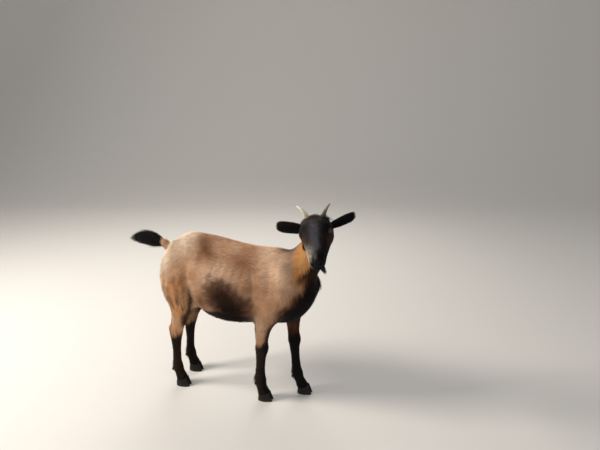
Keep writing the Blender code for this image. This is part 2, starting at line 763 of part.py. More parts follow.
def eye_frame(side):
    """The eye's place and lie in the goat's frame: its own +Z looks out and its +X runs to the nose."""
    out = mirrored(EYE_OUT, side)
    forward = Vector((1, 0, 0))
    forward = (forward - out * forward.dot(out)).normalized()
    up = out.cross(forward) * side
    lie = Matrix.Identity(4)
    nose = forward * math.cos(EYE_LEAN) - up * math.sin(EYE_LEAN)
    for column, axis in enumerate((nose, out.cross(nose), out)):
        for row in range(3):
            lie[row][column] = axis[row]
    return head_matrix() @ Matrix.Translation(mirrored(EYE_AT, side) * SIZE) @ lie


def cut_eye(head, side, cutters):
    """The hollow that the eyeball fills, and the almond between the lids."""
    place = eye_frame(side)
    hollow = ball("hollow", place, Vector.Fill(3, EYE_RADIUS * SIZE + GAP), 16, 10)
    boolean(head, "DIFFERENCE", add_object("hollow", hollow, cutters))
    across = np.linspace(-1, 1, 9)
    lid = (1 - across**2) ** 0.8
    outline = [(EYE_LENGTH / 2 * t, EYE_HEIGHT / 2 * rise) for t, rise in zip(across, lid)]
    outline += [(EYE_LENGTH / 2 * t, -EYE_HEIGHT / 2 * rise) for t, rise in list(zip(across, lid))[-2:0:-1]]
    almond = prism("almond", np.array(outline) * SIZE, 0, 0.03 * SIZE, 2, cutters)
    almond.data.transform(place)
    boolean(head, "DIFFERENCE", almond)


def cut_nostril(head, side, cutters):
    lean = Matrix.Rotation(NOSTRIL_LEAN * side, 4, "X") @ Matrix.Rotation(0.5 * side, 4, "Z")
    place = head_matrix() @ Matrix.Translation(mirrored(NOSTRIL_AT, side) * SIZE) @ lean
    hollow = ball("nostril", place, NOSTRIL_SIZE * SIZE, 14, 8)
    boolean(head, "DIFFERENCE", add_object("nostril", hollow, cutters))


def cut_mouth(head, cutters):
    """The line of the mouth, a shallow groove from corner to corner."""
    half = []
    for t in np.linspace(0, 1, 13):
        x = MOUTH_CORNER[0] + (MOUTH_FRONT[0] - MOUTH_CORNER[0]) * math.sin(t * math.pi / 2)
        z = MOUTH_CORNER[1] + (MOUTH_FRONT[1] - MOUTH_CORNER[1]) * t**1.5
        half.append((x, head_half_width(x * SIZE, z * SIZE) / SIZE, z))
    half[-1] = (MOUTH_FRONT[0], 0.0, MOUTH_FRONT[1])
    path = np.array(half + [(x, -y, z) for x, y, z in half[-2::-1]])
    ends = np.abs(np.linspace(-1, 1, len(path)))
    radius = MOUTH_WIDTH / 2 * (1.05 - 0.55 * ends**6)
    groove = loft("mouth", swept(path * SIZE, radius * SIZE, radius * SIZE, side=(0, 0, 1), around=8))
    groove.transform(head_matrix())
    boolean(head, "DIFFERENCE", add_object("mouth", groove, cutters))


def part_head(flesh, goat, cutters, materials):
    head = thinned(flesh, "head", HEAD_DETAIL, cutters)
    half = 0.30 * SIZE
    region = prism("region", np.array(HEAD_CUT) * SIZE, -half, half, 1, cutters)
    region.data.transform(head_matrix())
    boolean(head, "INTERSECT", region)
    for side, name in ((1, "left"), (-1, "right")):
        cut_eye(head, side, cutters)
        cut_nostril(head, side, cutters)
        eyeball = ball("eye", eye_frame(side), Vector.Fill(3, EYE_RADIUS * SIZE), 16, 10)
        node("eye_" + name, add_object("eye", eyeball, cutters), materials["eye"], goat)
    cut_mouth(head, cutters)
    return node("head", largest_piece(head), materials["black"], goat)


def ear_form(side, across=7):
    """A curled sheet, open towards EAR_FACES, wide in the middle and rounded at the tip."""
    rows = smooth_rows(EAR, 2)
    along = np.array(EAR_ALONG[side])
    faces = np.array(mirrored(EAR_FACES, side))
    faces -= along * faces.dot(along)
    faces /= np.linalg.norm(faces)
    beside = np.cross(along, faces)
    rings = []
    for share, width, curl, thick in rows / SIZE:
        half = math.radians(curl)
        radius = width / (2 * half)
        back = np.array(mirrored(EAR_AT, side)) + along * EAR_LENGTH * share
        back[2] -= EAR_DROOP * share**2
        hub = back + faces * radius
        ring = []
        for reach, order in ((radius, 1), (radius - thick, -1)):
            for turn in np.linspace(-half, half, across)[::order]:
                edge = 1 - 0.5 * (abs(turn) / half) ** 4 if order < 0 else 1
                deep = radius - (radius - reach) * edge
                ring.append(hub + deep * (beside * math.sin(turn) - faces * math.cos(turn)))
        rings.append(np.array(ring) * SIZE)
    mesh = loft("ear", rings)
    mesh.transform(head_matrix())
    return mesh


def horn_form(side, levels=13, around=9):
    """A slender tapering horn that rises, then sweeps back and outwards, with low rings near its root."""
    shares = np.linspace(0, 1, levels)
    start, end = np.array(mirrored(HORN_START, side)), np.array(mirrored(HORN_END, side))
    ways = (1 - shares)[:, None] * start + shares[:, None] * end
    ways /= np.linalg.norm(ways, axis=1)[:, None]
    steps = ways * HORN_LENGTH / (levels - 1)
    path = np.array(mirrored(HORN_AT, side)) + np.cumsum(steps, axis=0)
    rings = 0.05 * np.cos(shares * HORN_RINGS * 2 * math.pi) * (1 - shares)
    radius = HORN_RADIUS * ((1 - shares) ** 0.72 * 0.97 + 0.05) * (1 + rings)
    mesh = loft("horn", swept(path * SIZE, radius * SIZE, radius * 1.25 * SIZE, around=around))
    mesh.transform(head_matrix() @ Matrix.Rotation(HORN_LEAN, 4, "X"))
    return mesh


def beside(name, thing, body, material, goat, cutters):
    """A node that meets the body's node: what lies within that is cut away."""
    clear = grown(body, cutters)
    boolean(thing, "DIFFERENCE", clear)
    bpy.data.objects.remove(clear)
    return node(name, largest_piece(thing), material, goat)


def lock(path, across, width, collection):
    """A flat lock of hair along a path: widest a quarter of the way down, drawn out to a point."""
    shares = np.linspace(0, 1, len(path))
    taper = np.clip(np.minimum(0.6 + 1.6 * shares, 1) * (1 - shares**1.8), LOCK_TIP, 1)
    mesh = loft("lock", swept(path * SIZE, width * SIZE * taper, LOCK_THICK * SIZE * taper, side=across, around=4))
    return add_object("lock", mesh, collection)


def with_locks(core, locks):
    """The core and its locks as one closed surface."""
    boolean(core, "UNION", locks)
    for thing in list(locks.objects):
        bpy.data.objects.remove(thing)
    bpy.data.collections.remove(locks)
    return largest_piece(core)


def beard_form(chance, cutters):
    """A soft core from the chin with locks hanging about it to one tip."""
    root, tip = np.array(BEARD_AT), np.array(BEARD_TIP)
    down = tip - root
    shares = np.linspace(0, 1, 6)
    radius = BEARD_RADIUS * np.sqrt(np.clip(1 - shares, 0.02, 1)) * 0.9
    path = root + shares[:, None] * down * 0.75
    core = add_object("core", loft("core", swept(path * SIZE, radius * SIZE, radius * SIZE, around=10)), cutters)
    locks = collection_named("beard_locks")
    shares = np.linspace(0, 1, 5)
    for i in range(BEARD_LOCKS):
        turn = (i + chance.uniform(-LOCK_VARIES, LOCK_VARIES)) * 2 * math.pi / BEARD_LOCKS
        outward = np.array((math.cos(turn), math.sin(turn), 0.0))
        length = 0.88 + chance.uniform(-LOCK_VARIES, LOCK_VARIES)
        bulge = BEARD_RADIUS * (0.30 + 0.80 * np.sin(shares * math.pi * 0.92))
        lie = root + shares[:, None] * down * length + bulge[:, None] * outward
        lock(lie, np.cross(outward, down), LOCK_WIDTH * 0.8, locks)
    with_locks(core, locks)
    core.data.transform(head_matrix())
    return core


def tail_form(chance, cutters):
    """The dock and the heart of its tuft, with rings of locks that run back over one another to the tip."""
    outside = smooth_rows(TUFT) / SIZE
    heart = outside * (1, 1, 1, TUFT_CORE, TUFT_CORE)
    tail = add_object("tail", limb("tail", DOCK, 12), cutters)
    core = loft("core", swept(heart[:-4, :3] * SIZE, heart[:-4, 4] * SIZE, heart[:-4, 3] * SIZE, around=12))
    boolean(tail, "UNION", add_object("core", core, cutters))
    locks = collection_named("tail_locks")
    shares = np.linspace(0, 1, 6)
    for start, count in TAIL_RINGS:
        for i in range(count):
            turn = (i + start * 100 + chance.uniform(-LOCK_VARIES, LOCK_VARIES)) * 2 * math.pi / count
            reach = LOCK_LENGTH * (1 + chance.uniform(-LOCK_VARIES, LOCK_VARIES))
            x = np.maximum(start - reach * shares, TUFT[-1][0])
            rows = np.column_stack([np.interp(-x, -outside[:, 0], outside[:, k]) for k in (1, 2, 3, 4)])
            out = np.minimum(0.45 + 1.5 * shares, 0.86 + 0.16 * shares)
            y = rows[:, 0] + math.cos(turn) * rows[:, 3] * out
            z = rows[:, 1] + math.sin(turn) * rows[:, 2] * out
            lock(np.column_stack([x, y, z]), (0, -math.sin(turn), math.cos(turn)), LOCK_WIDTH, locks)
    return with_locks(tail, locks)


def stand_on_origin(goat):
    """Moves every node so that the middle of the whole box stands on the origin."""
    corners = np.vstack([points_of(thing.data) for thing in goat.objects])
    middle = (corners.min(axis=0) + corners.max(axis=0)) / 2
    for thing in goat.objects:
        thing.data.transform(Matrix.Translation((-middle[0], -middle[1], 0)))


def main():
    clear_scene()
    goat = collection_named("goat")
    cutters = collection_named("cutters")
    materials = {
        "tan": coat("tan_coat", TAN, 0.75),
        "black": coat("black_coat", BLACK, 0.7),
        "dark": coat("dark_coat", DARK_BROWN, 0.75),
        "pale_horn": coat("pale_horn", PALE_HORN, 0.45),
        "brown_horn": coat("brown_horn", BROWN_HORN, 0.45),
        "hoof": coat("hoof_horn", HOOF, 0.5),
        "eye": coat("eye_amber", EYE, 0.1),
    }
    body = body_flesh(cutters)
    torso = part_torso(body, goat, cutters, materials["tan"])
    part_neck(body, goat, cutters, materials["tan"])
    for pair in ("fore", "hind"):
        for left in (False, True):
            part_leg(body, pair, left, goat, cutters, materials)
    head = part_head(head_flesh(cutters), goat, cutters, materials)
    for side, name in ((1, "left"), (-1, "right")):
        horn = materials["brown_horn"] if side > 0 else materials["pale_horn"]
        ear = add_object("ear", ear_form(side), cutters)
        beside("ear_" + name, ear, head, materials["black"], goat, cutters)
        beside("horn_" + name, add_object("horn", horn_form(side), cutters), head, horn, goat, cutters)
    chance = random.Random(SEED)
    beside("beard", beard_form(chance, cutters), head, materials["dark"], goat, cutters)
    beside("tail", tail_form(chance, cutters), torso, materials["black"], goat, cutters)
    stand_on_origin(goat)
    for thing in list(cutters.objects):
        bpy.data.objects.remove(thing)


main()
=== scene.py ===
"""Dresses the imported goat: one skin, a coat of fine hairs, long hair, horns, hooves and eyes.

Places are given in the goat's own frame, x from midway between the fore feet, or in the head's,
with the nose at +X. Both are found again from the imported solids.
"""

import json
import math

import bmesh
import bpy
import numpy as np
from mathutils import Matrix, Vector
from mathutils.kdtree import KDTree

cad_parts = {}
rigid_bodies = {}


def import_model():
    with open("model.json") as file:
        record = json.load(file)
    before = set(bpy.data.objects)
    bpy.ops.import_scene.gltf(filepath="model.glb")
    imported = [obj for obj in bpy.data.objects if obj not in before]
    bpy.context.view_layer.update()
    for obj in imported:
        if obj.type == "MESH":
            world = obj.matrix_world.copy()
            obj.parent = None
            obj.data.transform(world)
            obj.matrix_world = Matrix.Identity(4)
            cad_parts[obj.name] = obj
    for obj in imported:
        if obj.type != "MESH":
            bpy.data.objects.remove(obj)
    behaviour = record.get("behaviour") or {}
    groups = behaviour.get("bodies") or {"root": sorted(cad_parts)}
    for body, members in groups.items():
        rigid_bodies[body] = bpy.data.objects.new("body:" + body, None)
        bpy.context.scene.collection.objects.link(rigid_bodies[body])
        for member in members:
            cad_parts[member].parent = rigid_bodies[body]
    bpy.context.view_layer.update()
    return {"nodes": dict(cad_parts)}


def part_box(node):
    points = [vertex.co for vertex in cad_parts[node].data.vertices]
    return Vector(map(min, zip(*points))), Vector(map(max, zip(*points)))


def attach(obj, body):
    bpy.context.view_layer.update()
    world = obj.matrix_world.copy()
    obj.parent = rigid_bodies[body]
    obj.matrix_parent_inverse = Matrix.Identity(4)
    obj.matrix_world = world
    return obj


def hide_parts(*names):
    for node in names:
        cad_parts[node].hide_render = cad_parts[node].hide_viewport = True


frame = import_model()

# How the head is carried, and in its frame the eyeballs, the way they look, and the gap
# between the lids
HEAD_TURN = math.radians(-74)
HEAD_NOD = math.radians(31)
HEAD_TILT = math.radians(12)
EYE_AT = Vector((0.0760, 0.0440, 0.0205))
EYE_RADIUS = 0.0128
EYE_OUT = Vector((0.30, 0.92, 0.25)).normalized()
EYE_LEAN = math.radians(14)
EYE_LENGTH = 0.0235
EYE_HEIGHT = 0.0140
LID_THICK = 0.0017

# The heel of the inner claw of the right fore foot, in the goat's frame
HEEL_AT = (-0.115, -0.0428)

# How far each solid swells to close the cuts, the grain of the skin over them, how often it is
# smoothed, how far it lies inside them, and how dark it is beside the hair
NODE_OVERLAP = 0.0007
SKIN_VOXEL = 0.0045
SKIN_PASSES = 10
FACE_PASSES = 6
COAT_DEPTH = 0.0035
FACE_DEPTH = 0.0012
SKIN_SHADE = 0.80

# Behind this x the dock's skin isn't pressed in, because long hair starts there
DOCK_BARE = -0.515

# Ears in the head's frame, 1 for the left and -1 for the right: root, direction, where the cup
# faces, length, droop of the tip, and how much of the curl is left
EAR_AT = Vector((0.026, 0.038, -0.006))
EAR_ALONG = {
    1: Vector((-0.48, 0.86, -0.04)).normalized(),
    -1: Vector((-0.18, -0.95, 0.24)).normalized(),
}
EAR_FACES = {1: (0.95, 0.25, 0.08), -1: (0.92, -0.25, 0.34)}
EAR_LENGTH = 0.104
EAR_DROOP = 0.012
EAR_OPEN = {1: 1.0, -1: 0.62}
# Along the ear: share of its length, width spread flat, half angle of the curl, thickness
EAR = (
    (0.00, 0.044, 112, 0.0040),
    (0.20, 0.048, 96, 0.0036),
    (0.42, 0.051, 76, 0.0030),
    (0.64, 0.051, 60, 0.0026),
    (0.82, 0.046, 50, 0.0022),
    (0.94, 0.035, 42, 0.0018),
    (1.00, 0.015, 34, 0.0012),
)

# Horns in the head's frame, 1 for the left and -1 for the right: root, direction at the root
# and at the tip, how late the bend comes, length, radius, and how far both lean
HORN_AT = Vector((0.020, 0.0290, 0.0340))
HORN_START = {1: (0.05, 0.10, 0.99), -1: (0.05, -0.05, 0.99)}
HORN_END = {1: (-0.55, 0.70, 0.40), -1: (-0.50, -0.88, 0.24)}
HORN_BEND = {1: 1.0, -1: 1.3}
HORN_LENGTH = {1: 0.060, -1: 0.065}
HORN_RADIUS = {1: 0.0084, -1: 0.0090}
HORN_RINGS = 9
HORN_LEAN = math.radians(-5)

# Beard in the head's frame
BEARD_AT = Vector((0.166, 0.003, -0.030))
BEARD_TIP = Vector((0.166, 0.014, -0.094))
BEARD_RADIUS = 0.0105

# Tail in the goat's frame: the dock's path with its radius, then the outside of its hair
DOCK = (
    (-0.470, 0.0, 0.580, 0.020),
    (-0.510, 0.0, 0.606, 0.0175),
    (-0.538, 0.0, 0.618, 0.0145),
    (-0.565, 0.0, 0.626, 0.0115),
    (-0.605, 0.0, 0.631, 0.0060),
)
TUFT = (
    (-0.530, 0.0, 0.618, 0.019, 0.017),
    (-0.562, 0.0, 0.626, 0.031, 0.026),
    (-0.595, 0.0, 0.631, 0.035, 0.029),
    (-0.635, 0.0, 0.634, 0.028, 0.023),
    (-0.670, 0.0, 0.629, 0.017, 0.014),
    (-0.694, 0.0, 0.621, 0.005, 0.004),
)

# Camera: place and aim in the goat's frame, pitch, lens and sensor in millimetres
CAMERA_AT = Vector((0.5084, -1.5010, 1.2145))
CAMERA_AIM = Vector((-0.293, 0.956, 0.0))
CAMERA_PITCH = math.atan(0.3)
CAMERA_LENS = 27.0
SENSOR_WIDTH = 36

# Studio: the floor along the view, its sweep up to the wall behind, then the lights as
# name, place, size, watts and colour
FLOOR_NEAR = -6.0
FLOOR_FAR = 3.2
FLOOR_HALF = 9
SWEEP = 2.2
WALL_HEIGHT = 8.0
WORLD_LIGHT = 0.34
LIGHTS = (
    ("key", (-2.4, -0.95, 2.4), 0.9, 105, (1.0, 0.955, 0.89)),
    ("fill", (1.9, -2.2, 1.5), 2.4, 12, (0.93, 0.96, 1.0)),
    ("rim", (-0.6, 1.9, 2.3), 1.6, 26, (1.0, 0.98, 0.95)),
)
LIGHTS_AIM = Vector((0, 0, 0.45))

rng = np.random.default_rng(11)


def find_goat():
    """From the goat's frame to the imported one."""
    low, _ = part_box("fore_leg_right_claw_inner")
    return Matrix.Translation((low.x - HEEL_AT[0], low.y - HEEL_AT[1], 0))


def find_head():
    """From the head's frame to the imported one, hung on the two eyeballs."""
    turn = Matrix.Rotation(HEAD_TURN, 4, "Z") @ Matrix.Rotation(HEAD_NOD, 4, "Y")
    turn = turn @ Matrix.Rotation(HEAD_TILT, 4, "X")
    corners = [corner for name in ("eye_left", "eye_right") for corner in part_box(name)]
    middle = sum(corners, Vector()) / 4
    return Matrix.Translation(middle - turn @ Vector((EYE_AT.x, 0, EYE_AT.z))) @ turn


GOAT = find_goat()
HEAD = find_head()


def array_of(matrix):
    return np.array(matrix, float)


def carried(points, matrix):
    """Points moved by a matrix."""
    m = array_of(matrix)
    return points @ m[:3, :3].T + m[:3, 3]


def unit(vectors):
    return vectors / np.maximum(np.linalg.norm(vectors, axis=-1, keepdims=True), 1e-9)


def ramp(value, start, end):
    """0 at start, 1 at end, smooth between. Start may be the larger."""
    share = np.clip((value - start) / (end - start), 0, 1)
    return share * share * (3 - 2 * share)


def linear(*rgb):
    """The linear colour of screen values from 0 to 255."""
    values = np.array(rgb, float) / 255
    return np.where(values <= 0.04045, values / 12.92, ((values + 0.055) / 1.055) ** 2.4)


def bell(value, size):
    """1 where a value is 0, falling to 0 at about one and a half sizes."""
    return np.exp(-((value / size) ** 2))


def drift(points, scale, seed=0):
    """Soft noise from -1 to 1 that varies over 1 / scale metres."""
    place = points * scale + seed * 17.3
    cell = np.floor(place).astype(np.int64)
    part = place - cell
    part = part * part * (3 - 2 * part)
    total = np.zeros(len(points))
    for corner in range(8):
        step = np.array((corner & 1, corner >> 1 & 1, corner >> 2 & 1))
        key = (cell + step) @ np.array((73856093, 19349663, 83492791)) + seed * 2654435
        key = (key ^ (key >> 13)) * 1274126177 & 0xFFFFFFFF
        key = (key ^ (key >> 16)) * 668265263 & 0xFFFFFFFF
        weight = np.prod(np.where(step, part, 1 - part), axis=1)
        total += weight * (key / 0x7FFFFFFF - 1)
    return total


def layered(points, scale, seed=0):
    """Drift with two finer layers on it."""
    total = 0.6 * drift(points, scale, seed) + 0.3 * drift(points, scale * 2.3, seed + 1)
    return total + 0.2 * drift(points, scale * 5.1, seed + 2)


# Meshes and objects


def select_only(*things):
    for other in bpy.context.scene.objects:
        other.select_set(False)
    for thing in things:
        thing.select_set(True)
    bpy.context.view_layer.objects.active = things[0]


def added(name, data):
    """A new object in the scene for a mesh, light or camera."""
    thing = bpy.data.objects.new(name, data)
    bpy.context.scene.collection.objects.link(thing)
    return thing


def mesh_from(name, points, faces):
    mesh = bpy.data.meshes.new(name)
    mesh.from_pydata(np.asarray(points, float).tolist(), [], np.asarray(faces).tolist())
    return mesh


def with_modifier(thing, kind, **settings):
    """Adds a modifier with these settings and applies it."""
    select_only(thing)
    change = thing.modifiers.new(kind.lower(), kind)
    for key, value in settings.items():
        setattr(change, key, value)
    bpy.ops.object.modifier_apply(modifier=change.name)
    return thing


def read(things, field, width=3, kind=np.float32):
    """A field of all vertices, edges or corners, a row for each."""
    flat = np.empty(len(things) * width, kind)
    things.foreach_get(field, flat)
    return flat.reshape(-1, width)


def points_of(mesh):
    return read(mesh.vertices, "co").astype(float)


def normals_of(mesh):
    return read(mesh.vertices, "normal").astype(float)


def edges_of(mesh):
    return read(mesh.edges, "vertices", 2, np.int32)


def move_points(mesh, points):
    mesh.vertices.foreach_set("co", np.asarray(points, np.float32).ravel())
    mesh.update()


def copy_of(name, merge=1e-5):
    """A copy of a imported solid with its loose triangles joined."""
    thing = added(name + "_copy", frame["nodes"][name].data.copy())
    form = bmesh.new()
    form.from_mesh(thing.data)
    bmesh.ops.remove_doubles(form, verts=form.verts, dist=merge)
    form.to_mesh(thing.data)
    form.free()
    return thing


def joined(name, things):
    select_only(*things)
    bpy.ops.object.join()
    thing = bpy.context.view_layer.objects.active
    thing.name = name
    thing.data.name = name
    return thing


def smooth_rows(rows, per_span=6):
    """More rows, on a smooth curve through the rows given."""
    rows = np.array(rows, float)
    ends = np.vstack([2 * rows[0] - rows[1], rows, 2 * rows[-1] - rows[-2]])
    made = []
    for a, b, c, d in zip(ends, ends[1:], ends[2:], ends[3:]):
        for t in np.arange(per_span) / per_span:
            bend = (2 * a - 5 * b + 4 * c - d) * t * t + (3 * b - a - 3 * c + d) * t**3
            made.append(b + 0.5 * ((c - a) * t + bend))
    made.append(rows[-1])
    return np.array(made)


def face_out(mesh):
    """Turns the faces of a closed mesh outwards."""
    form = bmesh.new()
    form.from_mesh(mesh)
    bmesh.ops.recalc_face_normals(form, faces=form.faces)
    if form.calc_volume(signed=True) < 0:
        bmesh.ops.reverse_faces(form, faces=form.faces)
    form.to_mesh(mesh)
    form.free()


def lofted(name, rings):
    """A closed mesh over rings of points, each end closed by a fan."""
    rings = np.asarray(rings, float)
    count, around = rings.shape[:2]
    points = np.vstack([rings.reshape(-1, 3), rings[0].mean(0), rings[-1].mean(0)])
    first, last = count * around, (count - 1) * around
    faces = []
    for j in range(around):
        k = (j + 1) % around
        for i in range(0, last, around):
            faces.append((i + j, i + k, i + around + k, i + around + j))
        faces.append((first, k, j))
        faces.append((first + 1, last + j, last + k))
    mesh = bpy.data.meshes.new(name)
    mesh.from_pydata(points.tolist(), [], faces)
    face_out(mesh)
    return mesh


def swept(path, half_side, half_up, side=(0, 1, 0), around=24):
    """Oval rings square to a path."""
    path = np.asarray(path, float)
    along = unit(np.gradient(path, axis=0))
    angle = np.arange(around) * 2 * math.pi / around
    side = np.array(side, float)
    across = unit(side - (along @ side)[:, None] * along)
    rise = np.cross(across, along)
    flat = np.cos(angle)[None, :, None] * (across * np.asarray(half_side)[:, None])[:, None]
    high = np.sin(angle)[None, :, None] * (rise * np.asarray(half_up)[:, None])[:, None]
    return path[:, None] + flat + high


def piece(thing, slot, material, *nodes):
    """A finished piece of the goat, which stands for these solids."""
    thing.data.materials.clear()
    thing.data.materials.append(material)
    if nodes:
        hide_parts(*nodes)
    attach(thing, "root")
    return thing


# Materials


class Socket:
    """A number on its way through the shader, for sums written as plain expressions."""

    def __init__(self, paint, link):
        self.paint, self.link = paint, link

    def maths(self, operation, first, second=None):
        return self.paint.node("ShaderNodeMath", {"operation": operation}, (first, second))[0]

    def __add__(self, other):
        return self.maths("ADD", self, other)

    def __sub__(self, other):
        return self.maths("SUBTRACT", self, other)

    def __rsub__(self, other):
        return self.maths("SUBTRACT", other, self)

    def __mul__(self, other):
        return self.maths("MULTIPLY", self, other)

    def __pow__(self, other):
        return self.maths("POWER", self, other)

    __radd__ = __add__
    __rmul__ = __mul__

    def between(self, start, end):
        """0 at start and 1 at end, smooth between."""
        settings = {"interpolation_type": "SMOOTHSTEP"}
        return self.paint.node("ShaderNodeMapRange", settings, (self, start, end, 0.0, 1.0))[0]


class Paint:
    """One material and its nodes."""

    def __init__(self, name, **constants):
        self.material = bpy.data.materials.new(name)
        self.material.use_nodes = True
        self.tree = self.material.node_tree
        self.shader = self.tree.nodes["Principled BSDF"]
        for key, value in constants.items():
            self.shader.inputs[key.replace("_", " ")].default_value = value

    def node(self, kind, settings=None, inputs=()):
        """Adds a node and returns its outputs. Inputs are values or sockets, by place or name."""
        made = self.tree.nodes.new(kind)
        for key, value in (settings or {}).items():
            setattr(made, key, value)
        pairs = inputs.items() if isinstance(inputs, dict) else enumerate(inputs)
        for key, value in pairs:
            if isinstance(value, Socket):
                self.tree.links.new(value.link, made.inputs[key])
            elif value is not None:
                made.inputs[key].default_value = value
        return [Socket(self, output) for output in made.outputs]

    def place(self, stretch=(1, 1, 1)):
        """Object coordinates, stretched."""
        where = self.node("ShaderNodeTexCoord")[3]
        return self.node("ShaderNodeMapping", None, {"Vector": where, "Scale": stretch})[0]

    def grain(self, scale, stretch=(1, 1, 1), detail=3.0):
        inputs = {"Vector": self.place(stretch), "Scale": scale, "Detail": detail}
        return self.node("ShaderNodeTexNoise", None, inputs)[0]

    def mixed(self, share, first, second):
        """Between two colours by a share."""
        inputs = {0: share}
        for slot, colour in ((6, first), (7, second)):
            inputs[slot] = colour if isinstance(colour, Socket) else (*map(float, colour), 1.0)
        return self.node("ShaderNodeMix", {"data_type": "RGBA"}, inputs)[2]

    def scaled(self, colour, share):
        """A colour made darker or lighter by a number."""
        inputs = {0: colour, "Scale": share}
        return self.node("ShaderNodeVectorMath", {"operation": "SCALE"}, inputs)[0]

    def attribute(self, name):
        return self.node("ShaderNodeAttribute", {"attribute_name": name})[0]

    def feed(self, **sockets):
        for key, value in sockets.items():
            self.tree.links.new(value.link, self.shader.inputs[key.replace("_", " ")])

    def bump(self, height, strength, distance):
        inputs = {"Strength": strength, "Distance": distance, "Height": height}
        self.feed(Normal=self.node("ShaderNodeBump", None, inputs)[0])


def hair_paint(name, roughness, sheen):
    """Coat and skin read the colours and painted light kept on their points, with a fine grain
    over them.
    """
    paint = Paint(name, Roughness=roughness, Sheen_Weight=sheen, Sheen_Roughness=0.45,
                  Specular_IOR_Level=0.10)
    fine = paint.grain(900.0, (1.0, 1.0, 0.35))
    paint.feed(Base_Color=paint.scaled(paint.attribute("MarkingAndPaintedLight"), fine * 0.5 + 0.75))
    paint.bump(paint.grain(700.0, (0.3, 1.0, 0.5)), 0.35, 0.0006)
    return paint.material


# Coat colours and painted light


TAN = linear(186, 134, 96)
LIGHT = linear(238, 198, 164)
# Painted highlight on the rump and the backs of the thighs
PAINTED_HIGHLIGHT = linear(250, 226, 198)
BROWN = linear(122, 78, 46)
ORANGE = linear(238, 164, 94)
GREYED = linear(158, 130, 110)
MAUVE = linear(98, 64, 46)
DARK = linear(37, 19, 9)
BLACK = linear(8, 3, 2)
CHARCOAL = linear(50, 46, 48)
RUSSET = linear(104, 60, 38)
GRIZZLE = linear(150, 138, 122)
PINK = linear(172, 130, 116)
STREAK = linear(112, 66, 32)
# Painted highlight on the side of the neck
PAINTED_GOLD_HIGHLIGHT = linear(246, 190, 122)
# Painted sheen on the ridge of the nose and on the brows
PAINTED_RIDGE_SHEEN = linear(112, 110, 116)
PAINTED_BROW_SHEEN = linear(104, 100, 106)
PALE_LIP = linear(238, 214, 202)
NOSE = linear(30, 26, 27)

# No hair is blacker than this share of the light
DARKEST = 0.002

# Soft spots in the goat's frame: colour, share, centre and sizes, of which a 0 lets the spot run
# right through from side to side
SHOULDER_SPOTS = (
    (LIGHT, 1.15, (-0.250, 0, 0.557), (0.060, 0, 0.036)),
    (LIGHT, 1.10, (-0.056, 0, 0.650), (0.042, 0, 0.070)),
    (LIGHT, 1.05, (0.006, 0, 0.580), (0.040, 0, 0.050)),
    # The grey spot over the withers is painted sheen on the dark stripe there.
    (GREYED, 0.60, (0.024, 0, 0.640), (0.020, 0, 0.045)),
)
FLANK_SPOTS = (
    # The first spot is painted shade in the hollow before the hip.
    (BROWN, 0.55, (-0.318, 0, 0.610), (0.016, 0, 0.034)),
    (BROWN, 0.95, (-0.305, 0, 0.440), (0.034, 0, 0.045)),
)
THIGH_SPOTS = (
    (LIGHT, 0.65, (-0.455, 0, 0.315), (0.020, 0, 0.045)),
    (DARK, 0.75, (-0.412, 0, 0.310), (0.014, 0, 0.050)),
)
# A painted highlight on the side of the neck
PAINTED_NECK_HIGHLIGHTS = ((PAINTED_GOLD_HIGHLIGHT, 0.70, (0.078, 0, 0.640), (0.016, 0, 0.040)),)
FOREARM_SPOTS = ((LIGHT, 0.50, (-0.090, -0.085, 0.335), (0.030, 0.040, 0.060)),)
GROIN_SPOTS = (
    # The dark spot is painted shade in the groin between the hind legs.
    (DARK, 0.85, (-0.375, 0.0, 0.400), (0.040, 0.050, 0.034)),
    (PINK, 0.50, (-0.325, -0.080, 0.400), (0.016, 0.030, 0.010)),
)

# Lines in the goat's frame: the x of the middle of the neck, of the crease before the thigh,
# where shade is painted, and of the black chest's edge at a height, and the height of the belly's
# black edge at an x
NECK_MIDDLE = (
    (0.50, 0.55, 0.60, 0.65, 0.70, 0.745, 0.78),
    (-0.020, 0.022, 0.064, 0.098, 0.115, 0.122, 0.123),
)
CREASE = ((0.30, 0.34, 0.39, 0.44, 0.50), (-0.424, -0.404, -0.376, -0.362, -0.366))
CHEST_EDGE = ((0.36, 0.42, 0.46, 0.50, 0.55, 0.60), (-0.042, -0.006, 0.022, 0.060, 0.108, 0.126))
BELLY_EDGE = (
    (-0.36, -0.30, -0.24, -0.12, -0.06, 0.02),
    (0.385, 0.392, 0.410, 0.392, 0.385, 0.420),
)

# The lower edge of the head by x, in the head's frame
JAW = ((0.0, 0.046, 0.10, 0.15, 0.20), (-0.060, -0.078, -0.066, -0.048, -0.030))


def blend(base, other, share):
    """A colour or direction taken a share of the way to another."""
    return base + (np.asarray(other) - base) * np.clip(share, 0, 1)[:, None]


def blob(places, centre, sizes):
    """A bell round a centre. A size of 0 doesn't count."""
    total = np.zeros(len(places))
    for axis, size in enumerate(sizes):
        if size:
            total += ((places[:, axis] - centre[axis]) / size) ** 2
    return np.exp(-total)


def spotted(colour, places, spots):
    for other, share, centre, sizes in spots:
        colour = blend(colour, other, share * blob(places, centre, sizes))
    return colour


def past_neck(x, z):
    """How far a place is in front of the middle of the neck at its height."""
    return x - np.interp(z, *NECK_MIDDLE)


def head_share(head):
    """1 on the head and ears, 0 on the neck and body."""
    x, y, z = head.T
    below = ramp(z - np.interp(x, *JAW), -0.010, 0.002)
    on_ear = (np.abs(y) < 0.16) & (z > -0.060) & (np.abs(x) < 0.09)
    reach = np.where(np.abs(y) < 0.062, 1, on_ear)
    return ramp(x * 0.75 - z * 0.66, -0.018, 0.020) * below * reach * (x < 0.23) * (z < 0.09)


